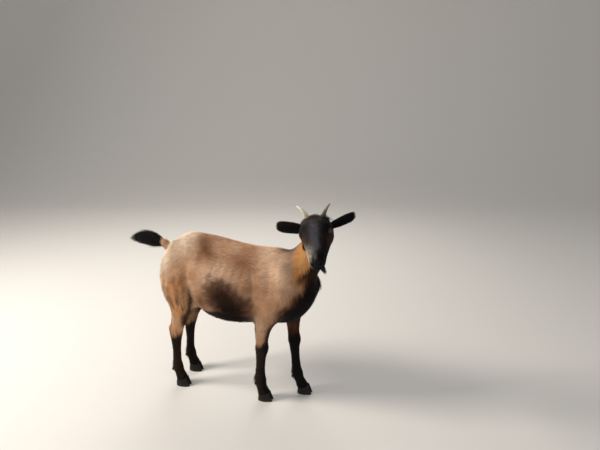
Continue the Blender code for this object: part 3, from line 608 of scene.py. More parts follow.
class Site:
    """Places on the coat below the head, with soft noise that breaks up the painted colours."""

    def __init__(self, goat, normals):
        self.goat = goat
        self.x, self.y, self.z = goat.T
        self.side = np.abs(self.y)
        self.ahead, self.leftward, self.above = normals.T
        self.wobble = layered(goat, 18, 3)
        self.fine = layered(goat, 60, 7)
        self.mottle = layered(goat * (1, 1, 0.6), 110, 8)


def trunk_colours(at):
    """Tan, light on ribs and shoulder, brown patches, painted highlight on rump and thigh backs,
    painted shade in the hip hollow and thigh crease, orange thigh streaks.
    """
    x, z = at.x, at.z
    colour = np.tile(TAN, (len(x), 1))
    colour = blend(colour, LIGHT, 0.30 + 0.50 * layered(at.goat * (0.6, 1, 1.3), 22, 5))
    dip = blob(at.goat, (-0.150, 0, 0.600), (0.050, 0, 0.034))
    colour = blend(colour, BROWN, 0.55 * dip + 0.22 * at.fine)
    back = ramp(z + 0.02 * at.wobble, 0.640, 0.665) * ramp(x, -0.33, -0.28)
    colour = blend(colour, GREYED, 0.40 * back)
    colour = spotted(colour, at.goat, SHOULDER_SPOTS)
    # Painted highlight on the top and back of the rump.
    rump = blob(at.goat, (-0.395, 0, 0.665), (0.055, 0, 0.050))
    rump = rump + blob(at.goat, (-0.485, 0, 0.600), (0.050, 0, 0.060))
    colour = blend(colour, PAINTED_HIGHLIGHT, 1.05 * rump * (0.8 + 0.4 * at.fine))
    # Painted shade in the hollow before the hip bone.
    bent = at.goat + np.column_stack([0 * x, 0 * x, (x + 0.30) * 0.55])
    hollow = blob(bent, (-0.300, 0, 0.636), (0.044, 0, 0.028))
    colour = blend(colour, BROWN, (1.05 + 0.3 * at.wobble) * hollow)
    colour = spotted(colour, at.goat, FLANK_SPOTS)
    # Painted highlight down the back edge of the thighs.
    behind = ramp(x + 0.012 * at.wobble, -0.445, -0.485) * ramp(z, 0.30, 0.40)
    colour = blend(colour, PAINTED_HIGHLIGHT, 0.75 * behind * ramp(z, 0.66, 0.58))
    streaks = drift(at.goat * (1, 1, 0.16), 150, 9)
    thigh = ramp(x, -0.36, -0.40) * ramp(z, 0.58, 0.48)
    colour = blend(colour, ORANGE, thigh * (0.35 - 0.5 * streaks))
    colour = blend(colour, STREAK, thigh * (0.18 + 0.85 * streaks))
    colour = spotted(colour, at.goat, THIGH_SPOTS)
    # Painted shade in the crease before the thigh.
    fold = bell(x - np.interp(z, *CREASE), 0.013) * ramp(z, 0.52, 0.45) * ramp(z, 0.27, 0.32)
    colour = blend(colour, DARK, 0.95 * fold)
    return colour * (1 + 0.16 * at.fine + 0.12 * at.mottle)[:, None]


def neck_colours(colour, at):
    """Orange sides with a painted highlight, a dark throat and chest, and a dark line down the
    nape.
    """
    x, z, side = at.x, at.z, at.side
    colour = blend(colour, ORANGE, 0.90 * ramp(x, 0.030, 0.062) * ramp(z, 0.52, 0.57))
    # Painted highlight on the side of the neck.
    colour = spotted(colour, at.goat, PAINTED_NECK_HIGHLIGHTS)
    front = past_neck(x, z) + 0.012 * at.wobble
    throat = ramp(front, 0.018, 0.044) * ramp(z, 0.53, 0.60)
    edge = np.interp(z, *CHEST_EDGE) - 0.034 * ramp(side, 0.066, 0.026) * ramp(z, 0.48, 0.54)
    edge = edge + 0.142 * ramp(at.y, 0.030, 0.055) * ramp(z, 0.445, 0.37)
    chest = ramp(x - edge + 0.020 * at.wobble + 0.014 * at.mottle, -0.036, 0.040)
    chest = chest * ramp(z, 0.64, 0.58)
    inside = ramp(side + 0.006 * at.wobble, 0.062, 0.040) * ramp(x, 0.0, 0.05)
    dark = np.maximum(throat, np.maximum(chest, inside * ramp(z, 0.56, 0.52)))
    colour = blend(colour, BROWN, ramp(dark, 0.0, 0.35) * 0.8)
    colour = blend(colour, DARK, ramp(dark, 0.20, 0.75) * 0.95)
    colour = blend(colour, BLACK, ramp(dark, 0.55, 1.0) * ramp(z, 0.60, 0.50) * 0.9)
    nape = bell(side, 0.016) * ramp(x, -0.05, 0.01) * ramp(front, 0.0, -0.02) * ramp(z, 0.61, 0.64)
    patch = blob(at.goat, (0.025, 0.0, 0.660), (0.024, 0.040, 0.026))
    colour = blend(colour, CHARCOAL, 0.9 * np.maximum(nape, patch))
    return blend(colour, BLACK, 0.95 * ramp(z + 0.01 * at.wobble, 0.718, 0.742))


def belly_colours(colour, at):
    """A black edge along the belly, and the dark patch that rises behind the elbow."""
    x, z, mottle = at.x, at.z, at.mottle
    height = z - np.interp(x, *BELLY_EDGE) + 0.010 * at.wobble + 0.006 * mottle
    belly = ramp(height, 0.014, -0.012) * ramp(x, -0.395, -0.360) * ramp(z, 0.310, 0.330)
    belly = belly * (1 - ramp(at.side, 0.060, 0.076) * ramp(x, -0.115, -0.095))
    lean = at.goat + np.column_stack([(z - 0.43) * 0.42, 0 * x, 0 * x])
    rise = blob(lean, (-0.184, 0, 0.446), (0.072, 0, 0.086)) + 0.13 * at.wobble + 0.16 * mottle
    colour = blend(colour, MAUVE, ramp(rise, 0.08, 0.40) * 0.92)
    colour = blend(colour, DARK, ramp(rise + 0.10 * mottle, 0.36, 0.80) * 0.88)
    core = ramp(rise, 0.60, 0.95) * ramp(z, 0.47, 0.42)
    return blend(colour, BLACK, np.maximum(core * 0.85, belly * 0.95))


def leg_colours(colour, at):
    """Black from knee and hock down, dark inner sides and front edges, painted shade in the groin,
    and a pale udder.
    """
    x, z = at.x, at.z
    fore = ramp(x, -0.22, -0.18)
    inner = ramp(at.leftward * np.sign(at.y), 0.15, -0.35)
    upper = ramp(z, 0.46, 0.40)
    colour = blend(colour, DARK, upper * inner * (0.55 + 0.25 * fore))
    pale = (1 - fore) * inner * ramp(z, 0.44, 0.38) * ramp(z, 0.25, 0.29)
    colour = blend(colour, GREYED, 0.65 * pale * ramp(at.ahead, 0.25, -0.2))
    colour = spotted(colour, at.goat, FOREARM_SPOTS)
    edge = fore * upper * ramp(at.ahead + 0.2 * at.wobble, 0.40, 0.80) * ramp(z, 0.43, 0.37)
    colour = blend(colour, DARK, 0.85 * edge)
    colour = blend(colour, RUSSET, 0.35 * fore * inner * ramp(z, 0.40, 0.36))
    knee = np.where(x > -0.2, 0.262, 0.236) + 0.010 * at.wobble + 0.012 * (at.ahead > 0.3)
    colour = blend(colour, BLACK, 0.97 * ramp(z - knee, 0.022, -0.008))
    # Painted shade in the groin, and a pink spot beside it.
    colour = spotted(colour, at.goat, GROIN_SPOTS)
    between = ramp(at.side, 0.075, 0.050)
    behind = ramp(x, -0.40, -0.43) * ramp(z, 0.53, 0.49) * ramp(z, 0.37, 0.40)
    colour = blend(colour, GREYED, 0.65 * between * behind)
    udder = blob(at.goat, (-0.410, 0, 0.375), (0.060, 0, 0.030))
    return blend(colour, PINK * 0.55, 0.85 * between * udder)


def tail_colours(colour, at):
    """Tan above, dark beneath, black from where the long hair starts, and dark under the root."""
    x, z = at.x, at.z
    colour = blend(colour, TAN, 0.7 * ramp(x, -0.485, -0.500) * ramp(z, 0.54, 0.57))
    colour = blend(colour, DARK, 0.8 * ramp(x, -0.500, -0.512) * ramp(at.above, 0.0, -0.5))
    colour = blend(colour, BLACK, ramp(x + 0.004 * at.fine, -0.536, -0.552))
    vent = bell(at.side, 0.018) * ramp(x, -0.47, -0.49) * ramp(z, 0.58, 0.55) * ramp(z, 0.42, 0.47)
    return blend(colour, DARK, 0.55 * vent)


def body_markings_and_painted_light(goat, normals):
    """The colour of the coat below the head."""
    at = Site(goat, normals)
    colour = trunk_colours(at)
    for part in (neck_colours, belly_colours, leg_colours, tail_colours):
        colour = part(colour, at)
    return colour


def head_markings_and_painted_light(head):
    """The colour of the coat on the head, in the head's frame."""
    x, y, z = head.T
    side = np.abs(y)
    wobble = layered(head, 45, 13)
    fine = layered(head, 130, 17)
    # Painted light: the right side of the head, towards the key light, is painted a lighter
    # charcoal.
    painted_lit_side = ramp(y, 0.012, -0.020)
    colour = np.tile(BLACK, (len(head), 1))
    colour = blend(colour, CHARCOAL, 0.45 * painted_lit_side + 0.25 * wobble + 0.30 * fine * painted_lit_side)
    # Painted sheen down the ridge of the nose.
    ridge = bell(y, 0.016) * ramp(x, 0.03, 0.07) * ramp(x, 0.175, 0.14) * ramp(z, 0.0, 0.02)
    colour = blend(colour, PAINTED_RIDGE_SHEEN, 0.62 * ridge * (0.8 + 0.4 * fine))
    # Painted sheen on the brows, stronger on the lit right side.
    brow = bell(x - 0.030, 0.022) * bell(side - 0.026, 0.018) * ramp(z, 0.02, 0.035)
    colour = blend(colour, PAINTED_BROW_SHEEN, brow * np.where(y < 0, 0.65, 0.25))
    cheek = bell(x - 0.102, 0.027) * bell(z + 0.002, 0.026) * ramp(side, 0.014, 0.025)
    colour = blend(colour, RUSSET, cheek * np.where(y < 0, 0.85, 0.40) * (0.85 + 0.3 * fine))
    muzzle = ramp(x + 0.006 * wobble, 0.118, 0.160) * ramp(x, 0.198, 0.188)
    muzzle = muzzle * ramp(-y - 0.2 * z, -0.014, 0.012)
    colour = blend(colour, GRIZZLE, muzzle * (0.62 + 0.9 * fine))
    lip = bell(x - 0.162, 0.032) * bell(z + 0.006, 0.020) * ramp(-y, 0.010, 0.019)
    colour = blend(colour, PALE_LIP, 0.95 * lip * (0.8 + 0.6 * fine))
    ear = (side > 0.050) & (x < 0.060)
    colour = np.where(ear[:, None], BLACK, colour)
    nose = ramp(x, 0.188, 0.197) * ramp(z, -0.014, -0.006)
    colour = blend(colour, NOSE, 0.85 * nose)
    # Painted shade in the openings of the nostrils.
    nostril = bell(x - 0.192, 0.008) * bell(side - 0.0125, 0.0045) * bell(z - 0.0035, 0.0050)
    return blend(colour, BLACK, 0.9 * nostril)


def markings_and_painted_light(points, normals):
    """The coat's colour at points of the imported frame."""
    goat, head = carried(points, GOAT.inverted()), carried(points, HEAD.inverted())
    return blend(body_markings_and_painted_light(goat, normals), head_markings_and_painted_light(head), head_share(head))


def paint_points(mesh, colours, name="MarkingAndPaintedLight"):
    """Keeps a colour for each point of the mesh, which its material reads by name."""
    values = np.ones((len(mesh.vertices), 4), np.float32)
    values[:, :3] = colours
    layer = mesh.color_attributes.new(name, "FLOAT_COLOR", "POINT")
    layer.data.foreach_set("color", values.ravel())


# Skin


FLESH = ["torso", "neck", "head"] + [
    f"{pair}_leg_{side}_{part}"
    for pair in ("fore", "hind") for side in ("left", "right") for part in ("upper", "lower")
]


def relaxed(points, links, passes, share):
    """Points drawn towards their neighbours, a share of the way each pass."""
    first, second = links.T
    count = np.bincount(links.ravel(), minlength=len(points))[:, None]
    for _ in range(passes):
        total = np.zeros_like(points)
        for axis in range(3):
            for here, there in ((first, second), (second, first)):
                total[:, axis] += np.bincount(here, points[there, axis], len(points))
        points = points + (total / count - points) * share[:, None]
    return points


def finer(mesh, picked):
    """Halves the edges whose two ends are picked."""
    form = bmesh.new()
    form.from_mesh(mesh)
    form.verts.ensure_lookup_table()
    halved = [edge for edge in form.edges if all(picked[vert.index] for vert in edge.verts)]
    bmesh.ops.subdivide_edges(form, edges=halved, cuts=1, use_grid_fill=True)
    bmesh.ops.triangulate(form, faces=[face for face in form.faces if len(face.verts) > 4])
    form.to_mesh(mesh)
    form.free()


def pressed(points, centre, sizes, depth):
    """How far points move outwards for a soft swelling on both sides, or inwards for a hollow."""
    total = np.zeros(len(points))
    for side in (1, -1):
        away = (points - np.array(centre) * (1, side, 1)) / np.array(sizes)
        total += depth * np.exp(-(away**2).sum(axis=1))
    return total


# Soft forms of the head under the hair: centre, sizes, how far out or in
HEAD_FORMS = (
    ((0.068, 0.037, 0.044), (0.020, 0.011, 0.009), 0.0026),
    ((0.100, 0.040, 0.006), (0.014, 0.010, 0.006), -0.0022),
    ((0.060, 0.050, -0.030), (0.024, 0.012, 0.024), 0.0024),
    ((0.050, 0.030, 0.054), (0.014, 0.012, 0.010), -0.0016),
    ((0.130, 0.011, 0.032), (0.030, 0.006, 0.010), 0.0008),
    ((0.150, 0.027, 0.004), (0.022, 0.010, 0.010), -0.0012),
    ((0.188, 0.0185, 0.008), (0.009, 0.006, 0.008), 0.0020),
    ((0.176, 0.022, -0.012), (0.016, 0.010, 0.007), 0.0014),
    ((0.180, 0.014, -0.030), (0.012, 0.010, 0.006), 0.0012),
)


# Soft forms of the body under the coat, in the goat's frame, the same on both sides
BODY_FORMS = (
    ((-0.345, 0.078, 0.668), (0.020, 0.016, 0.016), 0.0045),
    ((-0.302, 0.110, 0.625), (0.032, 0.030, 0.026), -0.0085),
    ((-0.452, 0.050, 0.625), (0.020, 0.018, 0.020), 0.0035),
    ((-0.378, 0.100, 0.520), (0.015, 0.040, 0.062), -0.0062),
    ((-0.430, 0.105, 0.500), (0.032, 0.040, 0.070), 0.0044),
    ((-0.400, 0.090, 0.385), (0.018, 0.040, 0.016), 0.0030),
    ((0.004, 0.085, 0.600), (0.016, 0.040, 0.060), 0.0040),
    ((-0.048, 0.100, 0.600), (0.016, 0.040, 0.060), -0.0046),
    ((0.035, 0.080, 0.480), (0.022, 0.030, 0.022), 0.0040),
    ((-0.095, 0.090, 0.415), (0.014, 0.040, 0.016), 0.0038),
    ((-0.058, 0.090, 0.480), (0.024, 0.040, 0.050), 0.0040),
    ((-0.106, 0.100, 0.500), (0.013, 0.040, 0.060), -0.0055),
    ((-0.250, 0.110, 0.560), (0.050, 0.040, 0.036), 0.0034),
)

RIB_STEP = 0.030


def body_details(points, normals):
    """Hip bones, hollow flanks, ribs, shoulders and muscles, and the ridge of the spine."""
    goat = carried(points, GOAT.inverted())
    x, y, z = goat.T
    push = np.zeros(len(points))
    for centre, sizes, depth in BODY_FORMS:
        push += pressed(goat, centre, sizes, depth)
    ribs = np.sin((x + 0.30 * (0.5 - z)) * 2 * math.pi / RIB_STEP) * ramp(np.abs(y), 0.06, 0.09)
    cage = ramp(x, -0.285, -0.25) * ramp(x, -0.10, -0.13)
    cage = cage * ramp(z, 0.44, 0.48) * ramp(z, 0.63, 0.58)
    spine = bell(y, 0.010) * ramp(normals[:, 2], 0.6, 0.9)
    spine = spine * ramp(x, -0.44, -0.40) * ramp(x, 0.04, 0.0)
    push += 0.0006 * ribs * cage + 0.0018 * spine
    return points + normals * push[:, None]


def eye_lie(side):
    """The eye's frame: its own +Z looks out and its +X runs to the nose."""
    out = Vector((EYE_OUT.x, EYE_OUT.y * side, EYE_OUT.z))
    forward = Vector((1, 0, 0))
    forward = (forward - out * forward.dot(out)).normalized()
    up = out.cross(forward) * side
    nose = forward * math.cos(EYE_LEAN) - up * math.sin(EYE_LEAN)
    lie = Matrix((nose, out.cross(nose), out)).transposed().to_4x4()
    return HEAD @ Matrix.Translation((EYE_AT.x, EYE_AT.y * side, EYE_AT.z)) @ lie


def almond(along):
    """Half height of the gap between the lids at a share of its half length."""
    return EYE_HEIGHT / 2 * np.clip(1 - along**2, 0, 1) ** 0.75


def lids(points):
    """Skin near an eye lies on the eyeball as two lids, and sinks behind it between them."""
    for side in (1, -1):
        place = eye_lie(side)
        own = carried(points, place.inverted())
        away = np.linalg.norm(own, axis=1)
        near = (own[:, 2] > -0.002) & (away < EYE_RADIUS + 0.010)
        if not near.any():
            continue
        a, b, _ = own[near].T
        gap = np.abs(b) - almond(a / (EYE_LENGTH / 2))
        beyond = np.maximum(np.abs(a) - EYE_LENGTH / 2, 0)
        gap = np.where(beyond > 0, np.hypot(beyond, b), gap)
        wanted = EYE_RADIUS + LID_THICK * ramp(gap, -0.0006, 0.0006)
        wanted -= 2 * LID_THICK * ramp(gap, 0.0, -0.0012) + 0.0008 * bell(gap - 0.0048, 0.0012)
        outside = ramp(gap, 0.009, 0.004)
        have = away[near]
        reach = have + (wanted - have) * outside
        moved = own.copy()
        moved[near] = own[near] * (reach / have)[:, None]
        points = carried(moved, place)
    return points


# The line of the mouth in the head's frame, x and z, and how far over and under it the lips swell
MOUTH = smooth_rows(
    ((0.148, -0.0200), (0.165, -0.0190), (0.182, -0.0165), (0.195, -0.0140), (0.204, -0.0125)), 4)
LIP = 0.0042

# The middle of the left nostril in the head's frame, and the cosine of its slant
NOSTRIL_AT = (0.1950, 0.0125, 0.0035)
NOSTRIL_SLANT = math.cos(0.55)


def over_mouth(head):
    """How high places are over the line of the mouth."""
    return head[:, 2] - np.interp(head[:, 0], MOUTH[:, 0], MOUTH[:, 1])


def head_details(points, normals):
    """Brow, cheeks, nostrils, lips and lids."""
    head = carried(points, HEAD.inverted())
    x, y, z = head.T
    on_head = (x > 0.02) & (np.abs(y) < 0.07) & (np.abs(z) < 0.09)
    push = np.zeros(len(points))
    for centre, sizes, depth in HEAD_FORMS:
        push += pressed(head, centre, sizes, depth)
    for side in (1, -1):
        out, up = y * side - NOSTRIL_AT[1], z - NOSTRIL_AT[2]
        long = out * NOSTRIL_SLANT + up * 0.75
        wide = up * 0.66 - out * 0.60
        deep = bell(long, 0.0062) * bell(wide, 0.0026) * ramp(x, 0.182, 0.190)
        rim = bell(long, 0.0075) * bell(wide, 0.0042) * ramp(x, 0.180, 0.190)
        push += 0.0014 * rim - 0.0085 * deep
    high = over_mouth(head)
    lips = 0.0010 * bell(high - LIP, 0.0028) + 0.0008 * bell(high + LIP, 0.0028)
    push += (lips - 0.0026 * bell(high, 0.0013)) * ramp(x, 0.144, 0.156)
    cleft = bell(y, 0.0011) * ramp(x, 0.194, 0.200) * ramp(z, 0.004, -0.002)
    push -= 0.0012 * cleft * (high > 0)
    return lids(points + normals * (push * on_head)[:, None])


def ear_form(side, across=13):
    """A curled sheet, open towards EAR_FACES, wide in the middle and rounded at the tip."""
    along, faces = np.array(EAR_ALONG[side]), np.array(EAR_FACES[side])
    faces = unit(faces - along * faces.dot(along))
    beside = np.cross(along, faces)
    rings = []
    for share, width, curl, thick in smooth_rows(EAR, 5):
        half = math.radians(curl) * EAR_OPEN[side]
        radius = width / (2 * half)
        back = np.array((EAR_AT.x, EAR_AT.y * side, EAR_AT.z)) + along * EAR_LENGTH * share
        back[2] -= EAR_DROOP * share**2
        hub = back + faces * radius
        ring = []
        for reach, order in ((radius - 0.0008, 1), (radius - thick, -1)):
            for turn in np.linspace(-half, half, across)[::order]:
                edge = 1 - 0.5 * (abs(turn) / half) ** 4 if order < 0 else 1
                deep = radius - (radius - reach) * edge
                ring.append(hub + deep * (beside * math.sin(turn) - faces * math.cos(turn)))
        rings.append(ring)
    mesh = lofted("ear", rings)
    mesh.transform(HEAD)
    return mesh


def make_skin():
    """One skin over torso, neck, head, legs and dock, just inside the solids, and both ears."""
    copies = []
    for name in FLESH:
        swelled = with_modifier(copy_of(name), "DISPLACE", strength=NODE_OVERLAP, mid_level=0.0)
        copies.append(swelled)
    dock = smooth_rows(DOCK)
    copies.append(added("dock", lofted("dock", swept(dock[:, :3], dock[:, 3], dock[:, 3]))))
    copies[-1].data.transform(GOAT)
    skin = joined("skin", copies)
    with_modifier(skin, "REMESH", mode="VOXEL", voxel_size=SKIN_VOXEL)
    links = edges_of(skin.data)
    goat = carried(points_of(skin.data), GOAT.inverted())
    head = carried(points_of(skin.data), HEAD.inverted())
    on_head = head_share(head)
    trunk = ramp(goat[:, 2], 0.30, 0.42) * (1 - on_head)
    points = relaxed(points_of(skin.data), links, SKIN_PASSES, 0.22 + 0.30 * trunk)
    move_points(skin.data, points)
    depth = COAT_DEPTH * (0.45 + 0.55 * ramp(goat[:, 2], 0.22, 0.40)) * (1 - on_head)
    depth = (depth + FACE_DEPTH * on_head) * (goat[:, 0] >= DOCK_BARE)
    move_points(skin.data, points - normals_of(skin.data) * depth[:, None])
    move_points(skin.data, body_details(points_of(skin.data), normals_of(skin.data)))
    for round_eyes in (False, True):
        x, y, z = carried(points_of(skin.data), HEAD.inverted()).T
        near = (x > 0.01) & (np.abs(y) < 0.075) & (z > -0.085) & (z < 0.07)
        if round_eyes:
            eye = np.sqrt((x - EYE_AT.x) ** 2 + (np.abs(y) - EYE_AT.y) ** 2 + (z - EYE_AT.z) ** 2)
            near &= (x > 0.140) | (eye < 0.026)
        finer(skin.data, near)
    x, y, z = carried(points_of(skin.data), HEAD.inverted()).T
    near = ramp(x, 0.01, 0.03) * (np.abs(y) < 0.075) * (np.abs(z) < 0.085)
    points = relaxed(points_of(skin.data), edges_of(skin.data), FACE_PASSES, 0.5 * near)
    move_points(skin.data, points)
    move_points(skin.data, head_details(points_of(skin.data), normals_of(skin.data)))
    ears = [added("ear", ear_form(side)) for side in (1, -1)]
    return joined("skin", [skin, *ears])


UNWRAP_ANGLE = math.radians(66)


def unwrapped(thing):
    """Gives the skin an unwrap of its own shape, which the coat's patches use too."""
    thing.data.uv_layers.new(name="OFBake")
    select_only(thing)
    bpy.ops.object.mode_set(mode="EDIT")
    bpy.ops.mesh.select_all(action="SELECT")
    bpy.ops.uv.smart_project(angle_limit=UNWRAP_ANGLE, island_margin=0.002)
    bpy.ops.object.mode_set(mode="OBJECT")


class Ground:
    """The skin as triangles to root hair on: corners, normals and unwrap."""

    def __init__(self, mesh):
        mesh.calc_loop_triangles()
        corners = read(mesh.loop_triangles, "vertices", kind=np.int32)
        loops = read(mesh.loop_triangles, "loops", kind=np.int32)
        self.points, self.normals = points_of(mesh)[corners], normals_of(mesh)[corners]
        self.uv = read(mesh.uv_layers["OFBake"].data, "uv", 2)[loops].astype(float)
        a, b, c = self.points.transpose(1, 0, 2)
        self.area = np.linalg.norm(np.cross(b - a, c - a), axis=1) / 2
        self.middle = self.points.mean(axis=1)
        self.out = unit(self.normals.sum(axis=1))

    def roots(self, density):
        """Random roots, so many per square metre of each triangle: places, normals, unwrap."""
        wanted = self.area * density
        total = int(wanted.sum())
        picked = rng.choice(len(wanted), total, p=wanted / wanted.sum())
        share = rng.random((total, 2))
        fold = share.sum(axis=1) > 1
        share[fold] = 1 - share[fold]
        weight = np.column_stack([1 - share.sum(axis=1), share])[:, :, None]
        place, out, uv = ((values[picked] * weight).sum(axis=1)
                          for values in (self.points, self.normals, self.uv))
        return place, unit(out), uv


# Coat


# Side of the square of the unwrap that a hair takes, and how round a hair is
PATCH = 0.003
HAIR_ROUND = 0.28

# Length, width and lift of a hair on the flank, and hairs per square metre
COAT = (0.0180, 0.00132, 0.0026, 192000.0)

EAR_HAIR = {"density": 420000, "length": 0.0095, "lift": 0.0019, "width": 0.0014}

# Layers of the coat: path along a hair, and how high it lifts there
HAIR_LAYERS = {
    "": ((0.0, 0.5, 1.0), (-0.25, 0.85, 1.0)),
    "_under": ((0.0, 1.0), (-0.25, 0.75)),
}


def strands(name, paths, across, outward, widths, uv, colours, soft=0.0):
    """Joined tapered hairs, three sided and closed. Paths are counts of hairs by levels by 3.

    Soft turns the shading of a hair this share of the way to that of the skin under it.
    """
    count, levels = paths.shape[:2]
    shares = np.linspace(0, 1, levels)
    taper = (1 - shares[:-1] ** 1.6) * np.minimum(0.72 + shares[:-1] * 1.6, 1)
    half = widths[:, None, None] * 0.5 * taper[None, :, None]
    body, side, rise = paths[:, :-1], across[:, None], outward[:, None]
    top = body + rise * half * 2 * HAIR_ROUND
    ring = np.stack([body - side * half, body + side * half, top], axis=2)
    points = np.concatenate([ring.reshape(count, -1, 3), paths[:, -1:]], axis=1)
    each = points.shape[1]
    faces = []
    for level in range(levels - 2):
        at = level * 3
        for j in range(3):
            k = (j + 1) % 3
            faces += [(at + j, at + 3 + k, at + k), (at + j, at + 3 + j, at + 3 + k)]
    last = (levels - 2) * 3
    faces += [(last + (j + 1) % 3, last + j, each - 1) for j in range(3)]
    faces.append((0, 1, 2))
    faces = np.array(faces, np.int32)
    corners = (faces[None] + (np.arange(count) * each)[:, None, None]).reshape(-1, 3)
    mesh = bpy.data.meshes.new(name)
    mesh.vertices.add(count * each)
    mesh.vertices.foreach_set("co", points.astype(np.float32).ravel())
    mesh.loops.add(len(corners) * 3)
    mesh.loops.foreach_set("vertex_index", corners.astype(np.int32).ravel())
    mesh.polygons.add(len(corners))
    mesh.polygons.foreach_set("loop_start", np.arange(0, len(corners) * 3, 3, dtype=np.int32))
    mesh.polygons.foreach_set("use_smooth", np.ones(len(corners), bool))
    mesh.update(calc_edges=True)
    level_of = np.append(np.repeat(shares[:-1], 3), 1.0)
    side_of = np.append(np.tile((-0.5, 0.5, 0.0), levels - 1), 0.0)
    patch = np.column_stack([side_of, level_of - 0.5]) * PATCH
    flat = (uv[:, None] + patch[None]).reshape(-1, 2)[corners.ravel()]
    mesh.uv_layers.new(name="OFBake").data.foreach_set("uv", flat.astype(np.float32).ravel())
    shade = (0.84 + 0.22 * level_of)[None, :, None]
    paint_points(mesh, np.clip(colours[:, None] * shade, DARKEST, 1).reshape(-1, 3))
    if soft:
        own = normals_of(mesh).reshape(count, each, 3)
        shading = unit(own + (outward[:, None] - own) * soft).reshape(-1, 3)
        mesh.normals_split_custom_set_from_vertices(shading)
    return added(name, mesh)


def lie_of_hair(goat, head, on_head):
    """Which way the coat runs, before it is laid along the skin."""
    x, _, z = goat.T
    leg = np.maximum(ramp(x, -0.35, -0.39), ramp(x, -0.14, -0.09))
    lie = np.tile((-1.0, 0.0, -0.30), (len(goat), 1))
    for way, share in (
        ((-0.75, 0, -0.70), ramp(x, -0.34, -0.44)),
        ((-0.15, 0, -1.0), ramp(x, -0.46, -0.49) * ramp(z, 0.60, 0.54)),
        ((-0.55, 0, -0.85), ramp(x, 0.00, 0.07)),
        ((-0.10, 0, -1.0), ramp(past_neck(x, z), 0.0, 0.03) * (z > 0.45)),
        ((-1.0, 0, 0.0), ramp(z, 0.42, 0.38) * ramp(x, -0.38, -0.33) * ramp(x, -0.10, -0.14)),
        ((-0.14, 0, -1.0), ramp(z, 0.47, 0.39) * leg),
        ((-1.0, 0, 0.35), ramp(x, -0.504, -0.522) * (z > 0.57)),
        ((0, 0, -1.0), ramp(z, 0.10, 0.06)),
    ):
        lie = blend(lie, way, share)
    ahead, _, high = head.T
    side, flat = np.sign(head[:, 1]), np.ones(len(head))
    face = np.column_stack([-flat, 0.25 * side, -0.35 * ramp(high, 0.03, -0.02)])
    face = blend(face, (-0.35, 0, -1.0), ramp(high, -0.035, -0.06))
    poll = ramp(ahead, 0.045, 0.02) * ramp(high, 0.02, 0.035)
    face = blend(face, np.column_stack([0.35 * flat, 0.5 * side, 0.55 * flat]), poll * 0.8)
    return blend(lie, face @ array_of(HEAD)[:3, :3].T, on_head)


def coat_sizes(goat, head, normals, on_head):
    """Length, width and lift of the hairs, and how many per square metre."""
    x, _, z = goat.T
    length, width, lift, density = (np.full(len(goat), size) for size in COAT)

    def grow(share, more_length, more_lift=0.0):
        nonlocal length, lift
        length = length + share * more_length
        lift = lift + share * more_lift

    spine = ramp(normals[:, 2], 0.75, 0.95) * ramp(z, 0.58, 0.62)
    grow(spine, 0.005, 0.0012)
    breeches = ramp(x, -0.46, -0.49) * ramp(z, 0.36, 0.42) * ramp(z, 0.60, 0.55)
    grow(breeches, 0.006, 0.0030)
    grow(ramp(past_neck(x, z), 0.0, 0.03) * ramp(z, 0.40, 0.46), 0.007, 0.0020)
    grow(ramp(z, 0.40, 0.36) * ramp(x, -0.36, -0.32) * ramp(x, -0.10, -0.14), 0.005, 0.0030)
    legs = ramp(z, 0.44, 0.34) * np.maximum(ramp(x, -0.35, -0.39), ramp(x, -0.14, -0.09))
    grow(legs, -0.0060, -0.0010)
    lower = ramp(z, 0.26, 0.18)
    grow(lower, -0.0056, -0.0010)
    width -= 0.0001 * legs + 0.0002 * lower
    density = density * (1 + 0.10 * legs + 0.45 * lower)
    back = lower * ramp(normals[:, 0], -0.35, -0.75)
    grow(back, 0.0030, 0.0012)
    grow(back * ramp(z, 0.125, 0.105) * ramp(z, 0.070, 0.080), 0.0080, 0.0040)
    grow(ramp(z, 0.055, 0.035), 0.0034, 0.0006)
    udder = blob(goat * (1, 0, 1), (-0.400, 0, 0.372), (0.045, 0, 0.036))
    grow(udder, -0.0110, -0.0016)
    face = on_head > 0.5
    muzzle = ramp(head[:, 0], 0.10, 0.17)
    top = ramp(head[:, 0], 0.050, 0.020) * ramp(head[:, 2], 0.015, 0.035)
    beard = ramp(head[:, 2], -0.040, -0.060)
    length = np.where(face, 0.0088 - 0.0048 * muzzle + 0.0080 * top + 0.0040 * beard, length)
    lift = np.where(face, 0.0012 - 0.0004 * muzzle + 0.0040 * top + 0.0016 * beard, lift)
    width = np.where(face, 0.00130 - 0.0004 * muzzle + 0.0004 * top, width)
    density = np.where(face, 330000 + 260000 * muzzle, density)
    return length, width, lift, density


def on_ears(head, on_head):
    """Which places are on the ears."""
    x, y, z = head.T
    return (np.abs(y) > 0.052) & (z > -0.055) & (x < 0.050) & (on_head > 0)


def haired(places, goat, head, on_head):
    """1 where hair grows, 0 between the lids, on nose and lips and under the feet."""
    share = np.ones(len(places))
    for side in (1, -1):
        a, b, c = carried(places, eye_lie(side).inverted()).T
        gap = (np.abs(b) < almond(a / (EYE_LENGTH / 2)) + 0.0009) & (c > 0)
        share[gap & (np.abs(a) < EYE_LENGTH / 2 + 0.001)] = 0
    nose = ramp(head[:, 0], 0.1935, 0.1965) * ramp(head[:, 2], -0.016, -0.008)
    lips = (np.abs(over_mouth(head)) < 0.0016) & (head[:, 0] > 0.148) & (on_head > 0.5)
    return share * (1 - nose) * ~lips * ramp(goat[:, 2], 0.030, 0.034)


